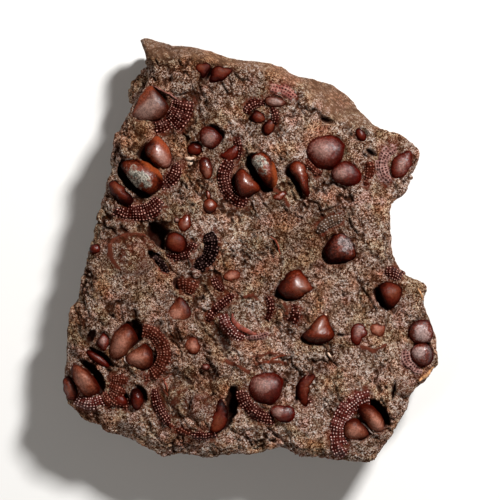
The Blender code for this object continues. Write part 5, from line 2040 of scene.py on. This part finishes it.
        # The coat is a real crust on the coated skin and a painted grey sheen on the dusky one.
        if skin.coat_and_sheen:
            crust_and_sheen = self.patch(wiring, place, 1.5, 0.40, 0.10, 12.0)
            crust_and_sheen = wiring.maths("MULTIPLY", crust_and_sheen, wiring.between(bloom, 0.30, 0.50))
            crust_and_sheen = wiring.maths("MULTIPLY", crust_and_sheen, wiring.between(rim, 0.0, 0.35, 1.0, 0.0))
            flecks = wiring.between(speck.outputs["Tone"], 0.0, 1.0, 0.15, 1.6)
            crusted_and_sheen = wiring.mix(1.0, skin.coat_and_sheen, flecks, "MULTIPLY")
            colour = wiring.mix(crust_and_sheen, colour, crusted_and_sheen)
            rough = wiring.maths("ADD", rough, wiring.maths("MULTIPLY", crust_and_sheen, 0.3))
        wiring.feed(shader.inputs["Base Color"], colour)
        wiring.feed(shader.inputs["Specular IOR Level"], wiring.between(
            crown, 0.25, 0.85, self.flank_gloss, skin.gloss))
        wiring.feed(shader.inputs["Roughness"], rough)
        height = wiring.maths("MULTIPLY", mottle, 2.0)
        height = wiring.maths("ADD", speck.outputs["Height"], height)
        bump = wiring.node("Bump", {"Height": height, "Distance": 0.12 * skin.grain * MM})
        wiring.feed(shader.inputs["Normal"], bump.outputs["Normal"])
        return material

    def lace(self, name: str, skin: Lace) -> bpy.types.Material:
        """A fringe's material, which follows what is raised on it."""
        material, wiring, shader = self.new_material(name)
        place = wiring.node("TexCoord", {}).outputs["Object"]
        raised = wiring.layer("raised")
        mottle = wiring.blotches(place, 0.9, 4.0)
        uneven = wiring.maths("ADD", raised, wiring.between(mottle, 0.3, 0.7, -0.22, 0.12))
        # On the bead weaves the palest raised colour is partly a painted highlight.
        stops = ((0.15, skin.floor), (0.62, skin.slope), (1.0, skin.raised))
        colour = wiring.tones(uneven, stops)
        dusty = self.patch(wiring, place, 1.4, 0.60, 0.1, 5.0)
        colour = wiring.mix(wiring.maths("MULTIPLY", dusty, 0.12), colour, skin.raised)
        wiring.feed(shader.inputs["Base Color"], colour)
        shader.inputs["Specular IOR Level"].default_value = self.lace_gloss
        shader.inputs["Specular Tint"].default_value = opaque(skin.raised)
        wiring.feed(shader.inputs["Roughness"], wiring.between(
            mottle, 0.3, 0.7, skin.roughness, skin.roughness + 0.15))
        speck = self.grain_node(wiring, place, 0.22, 0.6)
        bump = wiring.node("Bump", {"Height": speck.outputs["Height"], "Distance": 0.02 * MM})
        wiring.feed(shader.inputs["Normal"], bump.outputs["Normal"])
        return material

    def trim(self, name: str, skin: EdgeSkin) -> bpy.types.Material:
        """A thin edge's material."""
        material, wiring, shader = self.new_material(name)
        place = wiring.node("TexCoord", {}).outputs["Object"]
        mottle = wiring.between(wiring.blotches(place, 0.5, 4.0), 0.3, 0.7, 0.45, 1.25)
        colour = wiring.mix(1.0, skin.colour, mottle, "MULTIPLY")
        wiring.feed(shader.inputs["Base Color"], colour)
        shader.inputs["Roughness"].default_value = skin.roughness
        shader.inputs["Specular IOR Level"].default_value = self.trim_gloss
        return material


# ---------------------------------------------------------------------- studio


@dataclass
class Studio:
    """The floor, the lights and the camera."""

    floor_size: float = 3.0
    floor_colour: Colour = (0.72, 0.71, 0.69)
    floor_roughness: float = 0.9
    camera_height: float = 1.792
    camera_x: float = -0.00025
    lens: float = 640.0
    sensor_width: float = 36.0
    key_direction: tuple[float, float] = (52.0, 46.0)
    key_power: float = 5.6
    counter_direction: tuple[float, float] = (225.0, 38.0)
    counter_power: float = 0.7
    light_distance: float = 0.55
    light_size: float = 0.09
    ambient: float = 0.09
    ambient_colour: Colour = (1.0, 0.87, 0.76)

    def build(self) -> None:
        """Sets everything up."""
        self.floor()
        self.light("key_light", self.key_direction, self.key_power)
        counter = self.light("counter_light", self.counter_direction, self.counter_power)
        counter.visible_glossy = False  # it lifts the shadows without a second highlight
        self.surroundings()
        self.camera()

    def floor(self) -> None:
        """A plain pale floor."""
        deselect_all()
        bpy.ops.mesh.primitive_plane_add(size=self.floor_size)
        floor = bpy.context.object
        floor.name = "studio_floor"
        material = bpy.data.materials.new("pale_paper")
        material.use_nodes = True
        shader = material.node_tree.nodes["Principled BSDF"]
        shader.inputs["Base Color"].default_value = opaque(self.floor_colour)
        shader.inputs["Roughness"].default_value = self.floor_roughness
        floor.data.materials.append(material)

    def light(
        self, name: str, direction: tuple[float, float], power: float
    ) -> bpy.types.Object:
        """Adds a soft square light that faces the slab.

        Args:
            name: The light's name.
            direction: Its direction from +X and its elevation, in degrees.
            power: Its power in watts.

        Returns:
            The light's object.
        """
        turn, rise = (math.radians(angle) for angle in direction)
        away = Vector((
            math.cos(rise) * math.cos(turn), math.cos(rise) * math.sin(turn), math.sin(rise)
        ))
        lamp = bpy.data.lights.new(name, "AREA")
        lamp.shape = "SQUARE"
        lamp.size = self.light_size
        lamp.energy = power
        holder = bpy.data.objects.new(name, lamp)
        holder.location = away * self.light_distance
        holder.rotation_euler = away.to_track_quat("Z", "Y").to_euler()
        bpy.context.scene.collection.objects.link(holder)
        return holder

    def surroundings(self) -> None:
        """A dim even light from all round."""
        world = bpy.data.worlds.new("studio")
        world.use_nodes = True
        background = world.node_tree.nodes["Background"]
        background.inputs["Color"].default_value = opaque(self.ambient_colour)
        background.inputs["Strength"].default_value = self.ambient
        bpy.context.scene.world = world
        bpy.context.scene.view_settings.view_transform = "Standard"

    def camera(self) -> None:
        """A long lens that looks straight down on the face."""
        lens = bpy.data.cameras.new("overhead_camera")
        lens.lens = self.lens
        lens.sensor_width = self.sensor_width
        camera = bpy.data.objects.new("overhead_camera", lens)
        camera.location = (self.camera_x, 0.0, self.camera_height)
        bpy.context.scene.collection.objects.link(camera)
        bpy.context.scene.camera = camera


def main() -> None:
    """Builds the plate and the studio round the frame."""
    logging.basicConfig(level=logging.INFO, format="%(message)s")
    Studio().build()
    finishes = FinishShelf()
    face = BareFace()

    slab = RockSlab(face).build()
    slab.data.materials.append(finishes.sandstone())
    finish_piece(slab, ROCK_SMOOTH_BELOW)

    for name, head in HEADS.items():
        shield = HeadShield(name, head, face).build(finishes)
        if shield:
            finish_piece(shield, STAIN_SMOOTH_BELOW)
    for name, edges in EDGES.items():
        strips = EdgeStrips(name, edges, face).build(finishes)
        finish_piece(strips, STAIN_SMOOTH_BELOW)


if __name__ == "__main__":
    main()
